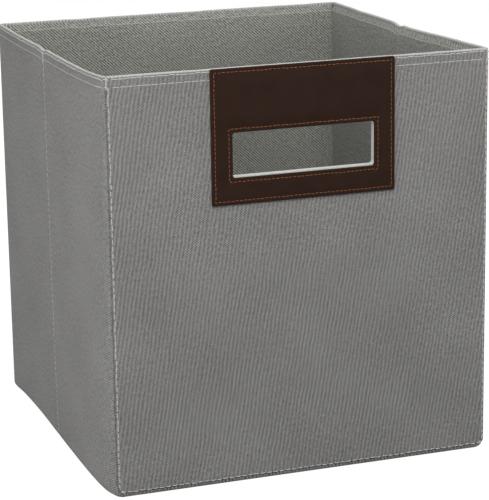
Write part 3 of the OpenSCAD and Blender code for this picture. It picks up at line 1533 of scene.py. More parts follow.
HEM_TOP = StitchStyle(5.2 * MM, 5.0 * MM, 0.36 * MM, bow=0.5 * MM, jitter=0.35 * MM, lift=0.45 * MM)
HEM_LOW = StitchStyle(6.5 * MM, 6.5 * MM, 0.28 * MM, bow=0.35 * MM, jitter=0.10 * MM)
SEAM = StitchStyle(5.4 * MM, 3.9 * MM, 0.38 * MM, jitter=0.25 * MM, lift=0.4 * MM)
CREASE = StitchStyle(5.0 * MM, 4.7 * MM, 0.22 * MM, jitter=0.14 * MM)
INNER = StitchStyle(5.5 * MM, 5.3 * MM, 0.25 * MM, jitter=0.10 * MM, lift=0.3 * MM)
LEATHER = StitchStyle(3.6 * MM, 2.7 * MM, 0.17 * MM, bow=0.12 * MM, jitter=0.2 * MM, lift=0.25 * MM)
BARTACK = StitchStyle(0.75 * MM, 1.5 * MM, 0.34 * MM, skew=62.0, jitter=0.08 * MM, lift=0.6 * MM)


class StitchTree(NodeMaker):
    """The Geometry Nodes tree that sews a stitch at every step along its paths."""

    INPUTS = ("Pitch", "Length", "Radius", "Bow", "Lift", "Bury", "Skew", "Jitter")

    def __init__(self) -> None:
        """Builds the tree."""
        self.tree = bpy.data.node_groups.new("stitches_along_paths", "GeometryNodeTree")
        face = self.tree.interface
        face.new_socket(name="Geometry", in_out="INPUT", socket_type="NodeSocketGeometry")
        for name in self.INPUTS:
            face.new_socket(name=name, in_out="INPUT", socket_type="NodeSocketFloat")
        face.new_socket(name="Seed", in_out="INPUT", socket_type="NodeSocketInt")
        face.new_socket(name="Thread", in_out="INPUT", socket_type="NodeSocketMaterial")
        face.new_socket(name="Geometry", in_out="OUTPUT", socket_type="NodeSocketGeometry")
        self.entry = self.node("NodeGroupInput")
        self.lay_out()

    def scaled(self, socket: bpy.types.NodeSocket, factor: float) -> bpy.types.NodeSocket:
        """A socket's value times a number."""
        return self.node("ShaderNodeMath", {"operation": "MULTIPLY"}, {0: socket, 1: factor}).outputs[0]

    def vector(self, x: object = 0.0, y: object = 0.0, z: object = 0.0) -> bpy.types.NodeSocket:
        """A vector of three sockets or numbers."""
        return self.node("ShaderNodeCombineXYZ", {}, {0: x, 1: y, 2: z}).outputs[0]

    def vector_maths(self, operation: str, *terms: bpy.types.NodeSocket) -> bpy.types.NodeSocket:
        """A Vector Math node."""
        return self.node("ShaderNodeVectorMath", {"operation": operation}, dict(enumerate(terms))).outputs[0]

    def thread_piece(self) -> bpy.types.NodeSocket:
        """One stitch along X: a bent thread whose ends go down into the cloth."""
        given = self.entry.outputs
        half = self.scaled(given["Length"], 0.5)
        down = self.scaled(given["Bury"], -1.0)
        path = {
            "Resolution": 7,
            "Start": self.vector(self.scaled(half, -1.0), z=down),
            "Middle": self.vector(y=self.scaled(given["Bow"], 2.0), z=self.scaled(given["Lift"], 2.0)),
            "End": self.vector(half, z=down),
        }
        bend = self.node("GeometryNodeCurveQuadraticBezier", {}, path).outputs[0]
        round_off = {"Resolution": 6, "Radius": given["Radius"]}
        ring = self.node("GeometryNodeCurvePrimitiveCircle", {}, round_off).outputs[0]
        tube = {"Curve": bend, "Profile Curve": ring, "Fill Caps": True}
        return self.node("GeometryNodeCurveToMesh", {}, tube).outputs[0]

    def lay_out(self) -> None:
        """Places the stitches along the paths and gives them their thread."""
        given = self.entry.outputs
        curve = self.node("GeometryNodeMeshToCurve", {}, {"Mesh": given["Geometry"]}).outputs[0]
        steps = {"Curve": curve, "Length": given["Pitch"]}
        holes = self.node("GeometryNodeResampleCurve", {"mode": "LENGTH"}, steps).outputs[0]
        low, high = self.scaled(given["Jitter"], -1.0), given["Jitter"]
        spans = {0: self.vector(low, low, low), 1: self.vector(high, high, high), "Seed": given["Seed"]}
        shake = self.node("FunctionNodeRandomValue", {"data_type": "FLOAT_VECTOR"}, spans).outputs[0]
        facing = {"data_type": "FLOAT_VECTOR"}
        outward = self.node("GeometryNodeInputNamedAttribute", facing, {"Name": "outward"}).outputs[0]
        flat_shake = self.vector_maths("SUBTRACT", shake, self.vector_maths("PROJECT", shake, outward))
        tangent = self.node("GeometryNodeInputTangent").outputs[0]
        align = "FunctionNodeAlignRotationToVector"
        along = self.node(align, {"axis": "X"}, {"Vector": tangent}).outputs[0]
        upright_way = {"Rotation": along, "Vector": outward}
        upright = self.node(align, {"axis": "Z", "pivot_axis": "X"}, upright_way).outputs[0]
        skewed = {0: upright, 1: self.vector(z=given["Skew"])}
        turned = self.node("FunctionNodeRotateRotation", {"rotation_space": "LOCAL"}, skewed).outputs[0]
        shift = {"Geometry": holes, "Offset": flat_shake}
        moved = self.node("GeometryNodeSetPosition", {}, shift).outputs[0]
        places = {"Points": moved, "Instance": self.thread_piece(), "Rotation": turned}
        sewn = self.node("GeometryNodeInstanceOnPoints", {}, places).outputs[0]
        real = self.node("GeometryNodeRealizeInstances", {}, {"Geometry": sewn}).outputs[0]
        thread = {"Geometry": real, "Material": given["Thread"]}
        dressed = self.node("GeometryNodeSetMaterial", {}, thread).outputs[0]
        smooth = self.node("GeometryNodeSetShadeSmooth", {}, {"Geometry": dressed}).outputs[0]
        self.node("NodeGroupOutput", {}, {0: smooth})

    def sew(
        self, name: str, rows: Sequence[StitchRow], style: StitchStyle, thread: Finish, seed: int
    ) -> bpy.types.Object:
        """Sews rows of stitches.

        Args:
            name: Name of the piece.
            rows: The paths.
            style: How they are sewn.
            thread: What the thread is.
            seed: Seed of the unevenness.

        Returns:
            The stitches as a plain mesh.
        """
        points, outward, edges = [], [], []
        for row in rows:
            start = len(points)
            points += row.points
            outward += row.outward
            edges += [(start + i, start + i + 1) for i in range(len(row.points) - 1)]
            if row.ring:
                edges.append((len(points) - 1, start))
        mesh = bpy.data.meshes.new(name)
        mesh.from_pydata(points, edges, [])
        facing = mesh.attributes.new("outward", "FLOAT_VECTOR", "POINT")
        facing.data.foreach_set("vector", [c for vector in outward for c in vector])
        piece = place_object(name, mesh)
        modifier = piece.modifiers.new("stitches", "NODES")
        modifier.node_group = self.tree
        given = {key: getattr(style, key.lower()) for key in self.INPUTS}
        given |= {"Skew": math.radians(style.skew), "Seed": seed, "Thread": thread.material()}
        for item in self.tree.interface.items_tree:
            if item.item_type == "SOCKET" and item.in_out == "INPUT" and item.name in given:
                modifier[item.identifier] = given[item.name]
        return settle(piece, 180.0)


def join(name: str, pieces: Sequence[bpy.types.Object]) -> bpy.types.Object:
    """Joins plain meshes into one piece.

    Args:
        name: Name of the piece.
        pieces: Objects to join, which go away.

    Returns:
        The joined object.
    """
    kept = pieces[0]
    with bpy.context.temp_override(active_object=kept, selected_editable_objects=list(pieces)):
        bpy.ops.object.join()
    kept.name = name
    kept.data.name = name
    return kept


def corner_normal(face: Face, side: Side, phi: float) -> Point:
    """Which way an upright corner's cloth faces, at an angle from the face's normal."""
    return (side.value * math.sin(phi), face.value * math.cos(phi), 0.0)


@dataclass
class Sewing:
    """Lays out every row of thread on the walls.

    Attributes:
        shell: Where the cloth lies.
        tree: The tree that sews.
    """

    shell: Shell
    tree: StitchTree

    def panel_row(self, face: Face, ends: Pair, drop: float, panel: WallPanel) -> StitchRow:
        """A level row on the front or back panel, from left to right as seen from outside."""
        z = self.shell.top - drop
        points = []
        for x in spread(-ends[0] * face.value, -ends[1] * face.value, 4 * MM):
            inset = self.shell.panel_inset(min(abs(x), self.shell.seam_x), z) + panel.soft(x, z)
            points.append((x, self.shell.face_y(face, inset), z))
        return StitchRow(points, [(0.0, float(face.value), 0.0)] * len(points))

    def on_panel(self, face: Face, x: float, z: float) -> Point:
        """A point on a panel's surface."""
        return (x, self.shell.face_y(face, self.shell.panel_inset(abs(x), z)), z)

    def seam_row(self, face: Face, side: Side) -> StitchRow:
        """The row beside a panel's upright seam, and round the part of the lower corner above the split."""
        shell = self.shell
        across = shell.seam_x - shell.thread_in
        radius = shell.seam_r - shell.thread_in
        low = shell.seam_up + shell.seam_r
        places = [(across, z) for z in spread(shell.top - TACK_END, low, 5 * MM)]
        for turn in spread(0.0, math.radians(64.0), math.radians(6.0))[1:]:
            places.append((across - radius + radius * math.cos(turn), low - radius * math.sin(turn)))
        points = [self.on_panel(face, side.value * a, z) for a, z in places]
        return StitchRow(points, [(side.value * 0.35, float(face.value), 0.0)] * len(points))

    def foot_row(self, face: Face) -> StitchRow:
        """The row along the foot of a panel, below the split."""
        shell = self.shell
        radius = shell.seam_r - shell.thread_in
        start = shell.seam_x - shell.seam_r
        low = shell.seam_up + shell.thread_in
        arc = spread(math.radians(68.0), math.radians(90.0), math.radians(6.0))
        half = [(start + radius * math.cos(t), low + radius * (1 - math.sin(t))) for t in arc]
        places = [(-a, z) for a, z in half]
        places += [(x, low) for x in spread(-start, start, 6 * MM)[1:-1]] + half[::-1]
        points = [self.on_panel(face, x, z) for x, z in places][:: -face.value]
        return StitchRow(points, [(0.0, float(face.value), -0.2)] * len(points))

    def side_row(self, panel: SidePanel, drop: float) -> StitchRow:
        """A level row along a side wall, from left to right as seen from outside."""
        shell, side = self.shell, panel.side
        stations = spread(panel.stations()[0], panel.stations()[-1], 4 * MM)
        if side is Side.LEFT:
            stations = stations[::-1]
        row = WallProfile(0.0, shell.top - drop)
        points = [panel.point(y, row) for y in stations]
        return StitchRow(points, [(float(side.value), 0.0, 0.0)] * len(points))

    def crease_line(self, panel: SidePanel, high: float, low: float, step: float) -> StitchRow:
        """An upright row on a side's crease."""
        y = self.shell.crease_y + CREASE_BACK
        points = [panel.point(y, WallProfile(0.0, z)) for z in spread(high, low, step)]
        return StitchRow(points, [(float(panel.side.value), 0.0, 0.0)] * len(points))

    def wrap_row(self, wrap: CornerWrap, drop: float) -> StitchRow:
        """A level row round a corner wrap, left to right as seen from outside."""
        shell = self.shell
        row = WallProfile(0.0, shell.top - drop)
        shares = (0.15, 0.3, 0.45, 0.6, 0.75, 0.9, 1.0)
        places = [(shell.seam_phi + (RIGHT_ANGLE - shell.seam_phi) * share, 0.0) for share in shares]
        places.append((RIGHT_ANGLE, wrap.lap))
        points = [wrap.ring_point(row, phi, beyond, 0.0) for phi, beyond in places]
        outward = [corner_normal(wrap.face, wrap.side, phi) for phi, _ in places]
        if (wrap.face is Face.FRONT) == (wrap.side is Side.LEFT):
            points, outward = points[::-1], outward[::-1]
        return StitchRow(points, outward)

    def bartack(self, face: Face, side: Side) -> StitchRow:
        """The dense stitches that close the top of an upright seam."""
        shell = self.shell
        heights = spread(shell.top - 1.2 * MM, shell.top - TACK_END, 0.7 * MM)
        phi = shell.seam_phi
        radius = shell.wall - 0.35 * MM
        reach = shell.hinge_x + radius * math.sin(phi)
        inset = shell.wall - radius * math.cos(phi)
        points = [(side.value * reach, shell.face_y(face, inset), z) for z in heights]
        return StitchRow(points, [corner_normal(face, side, phi)] * len(points))

    def inner_row(self, face: Face, drop: float) -> StitchRow:
        """The row that shows inside the front or the back wall."""
        shell = self.shell
        y = shell.face_y(face, shell.lining_depth(shell.top - drop))
        xs = spread(-shell.hinge_x + 1 * MM, shell.hinge_x - 1 * MM, 6 * MM)
        return StitchRow([(x, y, shell.top - drop) for x in xs], [(0.0, -float(face.value), 0.0)] * len(xs))

    def inner_side_row(self, side: Side, drop: float) -> StitchRow:
        """The row that shows inside a side wall."""
        shell = self.shell
        ys = spread(shell.front + shell.wall + 1 * MM, shell.back - shell.wall - 1 * MM, 3 * MM)
        level = shell.top - drop
        points = []
        for y in ys:
            across = shell.half_w - shell.lining_depth(level)
            across += shell.inner_bow(side, y, level) + shell.pinch(y)
            points.append((side.value * across, y, level - shell.crease_dip(side, y)))
        return StitchRow(points, [(-float(side.value), 0.0, 0.0)] * len(points))


# ---- The bin's sub-assemblies ---------------------------------------------------------------------


@dataclass
class HandlePatch:
    """The leather patch on the front wall, the slot through it, its binding and its stitches.

    Attributes:
        shell: Where the cloth lies.
        tree: The tree that sews.
    """

    shell: Shell
    tree: StitchTree
    corner_r: float = 1.6 * MM
    slot_r: float = 2.2 * MM
    stitch_in: float = 3.0 * MM
    slot_stitch_out: float = 3.2 * MM
    lift: float = 1.3 * MM

    def __post_init__(self) -> None:
        """Reads the patch's and the slot's places from the frame."""
        low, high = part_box("handle_patch")
        self.face_y, self.back_y = low.y, high.y
        self.size = (high.x - low.x, high.z - low.z)
        self.centre = ((low.x + high.x) / 2, (low.z + high.z) / 2)
        low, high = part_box("slot_binding")
        border = 1.0 * MM
        self.slot_size = (high.x - low.x - 2 * border, high.z - low.z - 2 * border)
        self.slot_centre = ((low.x + high.x) / 2, (low.z + high.z) / 2)

    def ring(self, share: float, grow: float, y: float) -> list[Point]:
        """A loop between the patch's outline and the slot's.

        Args:
            share: 0 at the outline of the patch, 1 at the slot.
            grow: How far the loop stands outside that outline.
            y: Y of the loop.

        Returns:
            The loop's points.
        """
        slot_r = max(self.slot_r - 0.55 * grow, 0.4 * MM)
        width, height = (length + 2 * grow for length in self.size)
        outer = rounded_loop(width, height, self.corner_r + grow, self.centre)
        width, height = (length + 2 * grow for length in self.slot_size)
        inner = rounded_loop(width, height, slot_r, self.slot_centre)
        places = between(outer, inner, share)
        return [(x, y, z) for x, z in places]

    def leather(self) -> bpy.types.Object:
        """The patch, with soft edges and a shallow furrow under each row of stitches."""
        face, back = self.face_y, self.back_y
        edge, furrow, half_furrow, beside = 0.55 * MM, 0.22 * MM, 0.96 * MM, 1.0 * MM
        turns = [math.radians(angle) for angle in (30, 60, 90)]
        loops = [self.ring(0, 0.0, back), self.ring(0, 0.0, face + edge)]
        loops += [self.ring(0, edge * (math.cos(t) - 1), face + edge * (1 - math.sin(t))) for t in turns]
        for off, deep in ((-half_furrow, 0.0), (0.0, furrow), (half_furrow, 0.0)):
            loops.append(self.ring(0, -(self.stitch_in + off), face + deep))
        outer = [(x, z) for x, _, z in self.ring(0, -(self.stitch_in + beside), face)]
        inner = [(x, z) for x, _, z in self.ring(1, self.slot_stitch_out + beside, face)]
        for share in (0.25, 0.5, 0.75):
            loops.append([(x, face, z) for x, z in between(outer, inner, share)])
        for off, deep in ((half_furrow, 0.0), (0.0, furrow), (-half_furrow, 0.0)):
            loops.append(self.ring(1, self.slot_stitch_out + off, face + deep))
        for t in turns[::-1]:
            loops.append(self.ring(1, edge * (1 - math.cos(t)), face + edge * (1 - math.sin(t))))
        loops += [self.ring(1, 0.0, face + edge), self.ring(1, 0.0, back)]
        patch = Patchwork("leather_patch")
        patch.add_loops(loops, closed=True)
        return patch.build(BROWN_LEATHER)

    def binding(self) -> bpy.types.Object:
        """Light cloth through the slot, with a soft lip that stands up along the bottom edge."""
        inner_y = self.shell.front + self.shell.wall
        width, height = self.slot_size[0] - 0.4 * MM, self.slot_size[1] - self.lift
        centre = (self.slot_centre[0], self.slot_centre[1] + self.lift / 2)
        outer_lip = ((2.5, 0.2), (0.9, 0.12), (0.25, 0.35), (0.0, 0.9))
        inner_lip = ((0.0, -0.4), (0.3, 0.5), (1.0, 0.8), (3.6, 0.75), (3.7, -0.6), (2.5, -1.2))
        section = [(out * MM, self.back_y + off * MM) for out, off in outer_lip]
        section += [(out * MM, inner_y + off * MM) for out, off in inner_lip]
        section.append((2.5 * MM, self.back_y + 1.0 * MM))
        rings = []
        for grow, y in section:
            outline = rounded_loop(width + 2 * grow, height + 2 * grow, self.slot_r + grow, centre)
            rings.append([(x, y + 0.08 * MM * ripple(x + z, 3.0), z) for x, z in outline])
        cloth = Patchwork("slot_binding_cloth")
        cloth.add_loops(rings, closed=True)
        return cloth.build(BINDING_CLOTH)

    def stitches(self) -> bpy.types.Object:
        """A ring of tan stitches round the patch and another round the slot."""
        y = self.face_y + 0.05 * MM
        rows = []
        for share, grow in ((0.0, -self.stitch_in), (1.0, self.slot_stitch_out)):
            loop = self.ring(share, grow, y)
            rows.append(StitchRow(loop, [(0.0, -1.0, 0.0)] * len(loop), ring=True))
        return self.tree.sew("leather_stitches", rows, LEATHER, TAN_THREAD, 11)

    def build(self) -> None:
        """Makes the patch and ties it to the front wall."""
        attach(self.leather(), "front_wall", "brown_leather", "handle_patch")
        binding = self.binding()
        attach(binding, "front_wall", "slot_binding_cloth", "slot_binding")
        attach(self.stitches(), "front_wall", "tan_thread", "handle_stitching")


@dataclass
class BaseInsert:
    """The loose stiff bottom: its board in a sewn cloth cover.

    Attributes:
        shell: Where the cloth lies.
        tree: The tree that sews.
    """

    shell: Shell
    tree: StitchTree
    corner_r: float = 3.0 * MM
    row_in: float = 5.0 * MM

    def build(self) -> None:
        """Makes the cover with a row of stitches round its edge."""
        low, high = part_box("base_insert_cover")
        size = (high.x - low.x, high.y - low.y)
        centre = ((low.x + high.x) / 2, (low.y + high.y) / 2)
        radius, middle = (high.z - low.z) / 2, (low.z + high.z) / 2
        places = [(grow * MM, low.z) for grow in (-120, -80, -40, -12)]
        for angle in (-90, -60, -30, 0, 30, 60, 90):
            turn = math.radians(angle)
            places.append((-radius * (1 - math.cos(turn)), middle + radius * math.sin(turn)))
        for off, sunk in ((1.5 * MM, 0.0), (0.0, 0.25 * MM), (-1.5 * MM, 0.0)):
            places.append((off - self.row_in, high.z - sunk))
        places += [(grow * MM, high.z) for grow in (-20, -40, -80, -120)]
        cover = Patchwork("insert_cover_cloth")
        cover.add_loops([self.loop(size, centre, grow, z) for grow, z in places], flat_axis=1, caps=True)
        piece = cover.build(LINING_CLOTH)
        attach(piece, "base_insert", "lining_cloth", "base_insert_cover")
        path = self.loop(size, centre, -self.row_in, high.z - 0.2 * MM)
        row = StitchRow(path, [(0.0, 0.0, 1.0)] * len(path), ring=True)
        stitches = self.tree.sew("insert_stitches", [row], SEAM, GREY_THREAD, 12)
        attach(stitches, "base_insert", "grey_thread")

    def loop(self, size: Pair, centre: Pair, grow: float, z: float) -> list[Point]:
        """A level loop round the insert."""
        radius = max(self.corner_r + grow, 0.5 * MM)
        outline = rounded_loop(size[0] + 2 * grow, size[1] + 2 * grow, radius, centre)
        return [(x, y, z) for x, y in outline]


def attach(piece: bpy.types.Object, body: str, slot: str, *nodes: str) -> None:
    """Ties a rigid piece to its body and hides the CAD nodes it stands for.

    Args:
        piece: The piece.
        body: Body it rides on.
        slot: Not used.
        nodes: CAD nodes that it replaces.
    """
    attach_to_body(piece, body)
    if nodes:
        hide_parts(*nodes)
    log.info("%s rides on %s", piece.name, body)


def bend(
    piece: bpy.types.Object, bodies: tuple[str, str], ends: tuple[Point, Point], slot: str, *nodes: str
) -> None:
    """Bakes the placement of a piece of cloth or thread that lies across two bodies into its mesh, and hides
    the nodes it stands for.

    Args:
        piece: The piece.
        bodies: The two bodies.
        ends: Not used.
        slot: Not used.
        nodes: CAD nodes that it replaces.
    """
    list(bodies)
    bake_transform(piece)
    if nodes:
        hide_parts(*nodes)
    log.info("%s bends between %s and %s", piece.name, *bodies)


@dataclass
class EndWall:
    """The front or the back wall: its panel, its lining and its stitches.

    Attributes:
        shell: Where the cloth lies.
        sewing: Lays out the thread.
        face: Which wall.
        slot: Lowest and highest corner of the hole for the hand slot, or None.
    """

    shell: Shell
    sewing: Sewing
    face: Face
    slot: tuple[Pair, Pair] | None = None

    def build(self) -> None:
        """Makes the wall and ties it to its body."""
        word = self.face.name.lower()
        body = f"{word}_wall"
        shell = self.shell
        panel = WallPanel(shell, self.face, self.slot)
        cloth = panel.build(f"{word}_cloth")
        attach(cloth, body, "outer_cloth", f"{word}_outer_cloth")
        width = 2 * shell.seam_x
        shell.top + HEM_TURN
        lining = Lining(shell).panel(self.face, f"{word}_lining_cloth", self.slot)
        attach(lining, body, "lining_cloth", f"{word}_lining")
        2 * shell.hinge_x
        attach(self.stitches(panel), body, "grey_thread", f"{word}_stitching")

    def stitches(self, panel: WallPanel) -> bpy.types.Object:
        """Every row of thread that moves with the wall."""
        sewing, shell, face = self.sewing, self.shell, self.face
        word = face.name.lower()
        reach = shell.seam_x - 0.8 * MM
        spans = [(-reach, reach)]
        if self.slot:
            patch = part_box("handle_patch")[1].x - 1.0 * MM
            spans = [(-reach, -patch), (patch, reach)]
        seed = 20 + face.value
        tree = sewing.tree
        groups = []
        for drop, style in ((shell.hem_row_1, HEM_TOP), (shell.hem_row_2, HEM_LOW)):
            rows = [sewing.panel_row(face, ends, drop, panel) for ends in spans]
            groups.append(tree.sew("hem_row", rows, style, GREY_THREAD, seed + 1))
        seams = [sewing.seam_row(face, side) for side in Side]
        tacks = [sewing.bartack(face, side) for side in Side]
        inner = [sewing.inner_row(face, INNER_DROP)]
        kinds = (("seam_row", seams, SEAM), ("bartack", tacks, BARTACK), ("inner_row", inner, INNER))
        for step, (name, rows, style) in enumerate(kinds, 2):
            groups.append(tree.sew(name, rows, style, GREY_THREAD, seed + step))
        return join(f"{word}_stitches", groups)


@dataclass
class SideWall:
    """A side wall: the panel and lining with a crease down their middle, their stitches, and both corner
    wraps.

    Attributes:
        shell: Where the cloth lies.
        sewing: Lays out the thread.
        side: Which side.
    """

    shell: Shell
    sewing: Sewing
    side: Side
    bend_half: float = 6.0 * MM

    def build(self) -> None:
        """Makes the wall. Its boards ride on its two bodies; the pieces across the crease are baked in
        place.
        """
        shell, side = self.shell, self.side
        word = side.name.lower()
        rear_lap = 2.0 * MM if side is Side.LEFT else 0.3 * MM
        panel = SidePanel(shell, side, lap_back=rear_lap)
        bodies = (f"{word}_rear_wall", f"{word}_front_wall")
        x = side.value * shell.half_w
        ends = ((x, shell.crease_y + self.bend_half, 0.0), (x, shell.crease_y - self.bend_half, 0.0))
        cloth = panel.build(f"{word}_side_cloth")
        bend(cloth, bodies, ends, "outer_cloth", f"{word}_rear_outer_cloth", f"{word}_front_outer_cloth")
        depth = shell.back - shell.front
        for half in ("rear", "front"):
            self.build_board(f"{word}_{half}_board", f"{word}_{half}_wall")
        lining = Lining(shell).side_panel(side, f"{word}_side_lining_cloth")
        bend(lining, bodies, ends, "lining_cloth", f"{word}_rear_lining", f"{word}_front_lining")
        depth - 2 * shell.wall
        stitches = self.stitches(panel)
        bend(stitches, bodies, ends, "grey_thread", f"{word}_rear_stitching", f"{word}_front_stitching")
        ends = self.build_wrap(Face.FRONT, 2.0 * MM, (f"{word}_front_wall", "front_wall"))
        if side is Side.LEFT:
            ends += self.build_wrap(Face.BACK, rear_lap, ("left_rear_wall", "back_wall"))
        else:
            ends += self.build_wrap(Face.BACK, rear_lap, None)
            ends.append(self.build_tuck())
        flat = (depth, shell.top + HEM_TURN)

    def build_board(self, node: str, body: str) -> None:
        """Makes the board of half a wall, which swells with its wall.

        Args:
            node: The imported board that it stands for.
            body: Body it rides on.
        """
        shell, side = self.shell, self.side
        low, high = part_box(node)
        outer = max(abs(low.x), abs(high.x))
        heights, along = spread(low.z, high.z, 20 * MM), spread(low.y, high.y, 5 * MM)
        rows = [[(side.value * (outer + shell.inner_bow(side, y, z)), y, z) for y in along] for z in heights]
        flats = [[(p[1], p[2]) for p in row] for row in rows]
        board = Patchwork(f"{node}_bent")
        board.add_grid(rows, flats, flip=side is Side.LEFT)
        piece = board.build(BOARD, high.x - low.x)
        attach(piece, body, "stiff_board", node)

    def stitches(self, panel: SidePanel) -> bpy.types.Object:
        """The hem rows, the crease's row with its bartack, and the row inside."""
        sewing, shell = self.sewing, self.shell
        seed = 30 + self.side.value
        top = shell.top
        tack = sewing.crease_line(panel, top - 2.2 * MM, top - 11 * MM, 0.7 * MM)
        crease = sewing.crease_line(panel, top - 11.5 * MM, shell.base_r + 1 * MM, 5 * MM)
        kinds = (
            ("hem_row", sewing.side_row(panel, shell.hem_row_1), HEM_TOP),
            ("hem_row", sewing.side_row(panel, shell.hem_row_2), HEM_LOW),
            ("crease_row", crease, CREASE),
            ("bartack", tack, BARTACK),
            ("inner_row", sewing.inner_side_row(self.side, INNER_DROP), INNER),
        )
        groups = [
            sewing.tree.sew(name, [row], style, GREY_THREAD, seed + step)
            for step, (name, row, style) in enumerate(kinds)
        ]
        return join(f"{self.side.name.lower()}_side_stitches", groups)

    def build_wrap(self, face: Face, lap: float, bodies: tuple[str, str] | None) -> list[bpy.types.Object]:
        """Makes a corner wrap and the hem stitches on it.

        Args:
            face: Front or back corner.
            lap: How far it reaches along the side.
            bodies: The side's body and the end wall's, or None at the open corner, which rides on the back.

        Returns:
            The wrap and its stitches.
        """
        shell, side = self.shell, self.side
        word = f"{face.name.lower()}_{side.name.lower()}_corner"
        wrap = CornerWrap(shell, face, side, lap)
        cloth = wrap.build(f"{word}_cloth")
        rows = [self.sewing.wrap_row(wrap, drop) for drop in (shell.hem_row_1, shell.hem_row_2)]
        seed = 40 + side.value * 2 + face.value
        thread = self.sewing.tree.sew(f"{word}_stitches", rows, HEM_LOW, GREY_THREAD, seed)
        if bodies is None:
            attach(cloth, "back_wall", "outer_cloth")
            attach(thread, "back_wall", "grey_thread")
        else:
            phi = shell.seam_phi
            start = (side.value * shell.half_w, shell.face_y(face, shell.wall), 0.0)
            reach = shell.hinge_x + shell.wall * math.sin(phi)
            end = (side.value * reach, shell.face_y(face, shell.wall * (1 - math.cos(phi))), 0.0)
            bend(cloth, bodies, (start, end), "outer_cloth")
            bend(thread, bodies, (start, end), "grey_thread")
        return [cloth, thread]

    def build_tuck(self) -> bpy.types.Object:
        """Makes the tucked-in edge that the open rear corner shows when the wall turns in.

        Returns:
            The piece.
        """
        shell, side = self.shell, self.side
        radius = shell.wall - shell.cloth - 0.15 * MM
        heights = spread(shell.split + 0.5 * MM, shell.top - 2.0 * MM, 12 * MM)
        turns = [math.radians(a) for a in range(0, 95, 6)]
        arc = [
            (side.value * (shell.hinge_x + radius * math.sin(t)),
             shell.face_y(Face.BACK, shell.wall - radius * math.cos(t)))
            for t in turns
        ]
        rows = [[(x, y, z) for x, y in arc] for z in heights]
        flats = [[(radius * t, z) for t in turns] for z in heights]
        cloth = Patchwork("right_rear_tuck_cloth")
        cloth.add_grid(rows, flats, flip=True)
        piece = cloth.build(OUTER_CLOTH, shell.cloth)
        attach(piece, "right_rear_wall", "outer_cloth")
        return piece


@dataclass
class Bottom:
    """The floor cloth with the rows of thread along its feet.

    Attributes:
        shell: Where the cloth lies.
        sewing: Lays out the thread.
    """

    shell: Shell
    sewing: Sewing

    def build(self) -> None:
        """Makes the bottom and ties it to the back wall."""
        shell = self.shell
        cloth = FloorCloth(shell).build("floor_cloth")
        rows = [self.sewing.foot_row(face) for face in Face]
        thread = self.sewing.tree.sew("floor_stitches", rows, SEAM, GREY_THREAD, 50)
        fold = joint("fold")
        half = fold["pos_m"][1] - shell.crease_y
        reach = math.hypot(half, shell.wall)
        turned = math.radians(fold["range_deg"][1]) - math.atan2(shell.wall, half)
        kept_depth = 2 * reach * math.cos(turned) + 2 * shell.wall
        keep = kept_depth / (shell.back - shell.front)
        for piece, slot in ((cloth, "outer_cloth"), (thread, "grey_thread")):
            attach(piece, "back_wall", slot)
            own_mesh(piece)
        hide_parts("base_cloth")
        flat = (2 * shell.half_w + 2 * shell.split, shell.back - shell.front + 2 * shell.split)


# ---- Studio ---------------------------------------------------------------------------------------


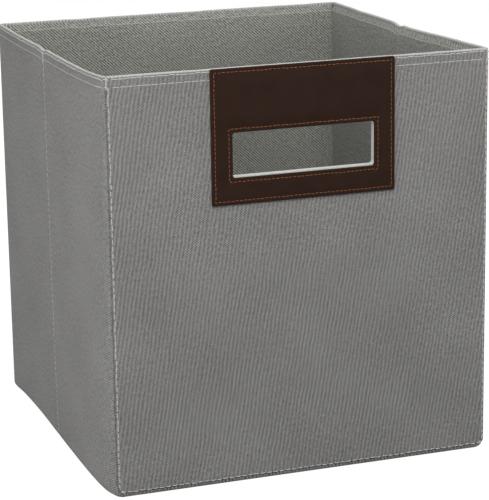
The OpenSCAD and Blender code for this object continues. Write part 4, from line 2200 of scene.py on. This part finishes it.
@dataclass
class Studio:
    """The pale floor, the soft lights and the camera.

    Attributes:
        turn: The camera's angle round the bin, in degrees, from straight in front towards the right.
        climb: The camera's angle above level, in degrees.
        roll: Its roll, in degrees.
        distance: Its distance from the point it circles.
        target: That point.
        lens: Focal length in millimetres.
        shift: Sideways and upward shift of the frame.
    """

    turn: float = -20.10
    climb: float = 14.571
    roll: float = -0.961
    distance: float = 1.9352
    target: Point = (-0.0060, 0.0008, 0.1308)
    lens: float = 158.07
    shift: Pair = (0.0306, 0.0525)

    def camera(self) -> None:
        """Places the camera."""
        a, e, r = (math.radians(v) for v in (self.turn, self.climb, self.roll))
        back = Vector((math.sin(a) * math.cos(e), -math.cos(a) * math.cos(e), math.sin(e)))
        right = Vector((0, 0, 1)).cross(back).normalized()
        up = back.cross(right)
        rolled_right = right * math.cos(r) + up * math.sin(r)
        rolled_up = up * math.cos(r) - right * math.sin(r)
        data = bpy.data.cameras.new("camera")
        data.lens = self.lens
        data.sensor_width = 36.0
        data.shift_x, data.shift_y = self.shift
        data.clip_end = 60.0
        camera = place_object("camera", data)
        place = Vector(self.target) + back * self.distance
        turn = Matrix((rolled_right, rolled_up, back)).transposed().to_4x4()
        camera.matrix_world = Matrix.Translation(place) @ turn
        bpy.context.scene.camera = camera

    def ground(self, name: str, height: float, colour: float, glow: float) -> bpy.types.Object:
        """Lays a wide plane.

        Args:
            name: Its name.
            height: Its height.
            colour: How light it is.
            glow: Strength of its own light.

        Returns:
            The plane.
        """
        graph = Graph(name)
        graph.surface(
            Base_Color=(colour, colour, colour, 1.0), Roughness=1.0, Specular_IOR_Level=0.0,
            Emission_Color=(1.0, 1.0, 1.0, 1.0), Emission_Strength=glow,
        )
        mesh = bpy.data.meshes.new(name)
        reach = 30.0
        signs = ((-1, -1), (1, -1), (1, 1), (-1, 1))
        mesh.from_pydata([(a * reach, b * reach, height) for a, b in signs], [], [(0, 1, 2, 3)])
        mesh.materials.append(graph.material)
        plane = place_object(name, mesh)
        return plane

    def floor(self) -> None:
        """Lays a white floor that shows, and a darker one under it that throws its light back up."""
        shown = self.ground("studio_floor", -0.02 * MM, 0.12, 0.97)
        shown.visible_diffuse = shown.visible_glossy = shown.visible_shadow = False
        self.ground("studio_bounce", -0.5 * MM, 0.34, 0.0).visible_camera = False

    def softbox(self, name: str, place: Point, aim: Point, size: Pair, power: float) -> None:
        """Hangs a rectangular soft light.

        Args:
            name: Its name.
            place: Where it hangs.
            aim: The point it faces.
            size: Width and height.
            power: Its power in watts.
        """
        data = bpy.data.lights.new(name, "AREA")
        data.shape = "RECTANGLE"
        data.size, data.size_y = size
        data.energy = power
        light = place_object(name, data)
        light.location = place
        light.rotation_euler = (Vector(aim) - Vector(place)).to_track_quat("-Z", "Y").to_euler()

    def build(self) -> None:
        """Sets up the whole studio."""
        scene = bpy.context.scene
        world = bpy.data.worlds.new("studio")
        world.use_nodes = True
        sky = world.node_tree.nodes["Background"]
        sky.inputs["Color"].default_value = (1.0, 1.0, 1.0, 1.0)
        sky.inputs["Strength"].default_value = 0.2
        scene.world = world
        scene.view_settings.view_transform = "Standard"
        self.camera()
        self.floor()
        self.softbox("overhead", (-0.1, -0.75, 1.2), (0.0, 0.0, 0.3), (0.8, 0.8), 12.2)
        self.softbox("low_left", (-1.35, -0.45, 0.3), (0.0, 0.0, 0.12), (0.8, 0.5), 7.2)
        self.softbox("left", (-2.0, -1.1, 0.9), (0.0, 0.0, 0.2), (1.2, 1.2), 9.5)
        self.softbox("right", (2.0, -1.0, 1.2), (0.0, 0.0, 0.2), (1.0, 1.0), 11.0)
        self.softbox("side", (1.6, -0.05, 0.5), (0.1, 0.0, 0.2), (0.6, 0.8), 20.0)
        self.softbox("back", (0.6, 1.9, 0.7), (0.0, 0.0, 0.2), (1.0, 1.0), 9.0)
        self.softbox("rim", (0.1, 1.0, 1.3), (0.0, 0.0, 0.3), (1.0, 0.6), 6.0)


# ---- Whole bin ------------------------------------------------------------------------------------


def dress_boards() -> None:
    """Gives the boards, which stay as they were packed, their finish."""
    for name, node in frame["nodes"].items():
        if name.endswith("board"):
            node.data.materials.clear()
            node.data.materials.append(BOARD.material())


def main() -> None:
    """Builds the studio and the bin, sub-assembly by sub-assembly."""
    logging.basicConfig(level=logging.INFO, format="%(name)s: %(message)s")
    Studio().build()
    shell = read_shell()
    tree = StitchTree()
    sewing = Sewing(shell, tree)
    low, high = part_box("slot_binding")
    slot = ((low.x, low.z), (high.x, high.z))
    EndWall(shell, sewing, Face.FRONT, slot).build()
    EndWall(shell, sewing, Face.BACK).build()
    for side in Side:
        SideWall(shell, sewing, side).build()
    Bottom(shell, sewing).build()
    BaseInsert(shell, tree).build()
    HandlePatch(shell, tree).build()
    dress_boards()


if __name__ == "__main__":
    main()
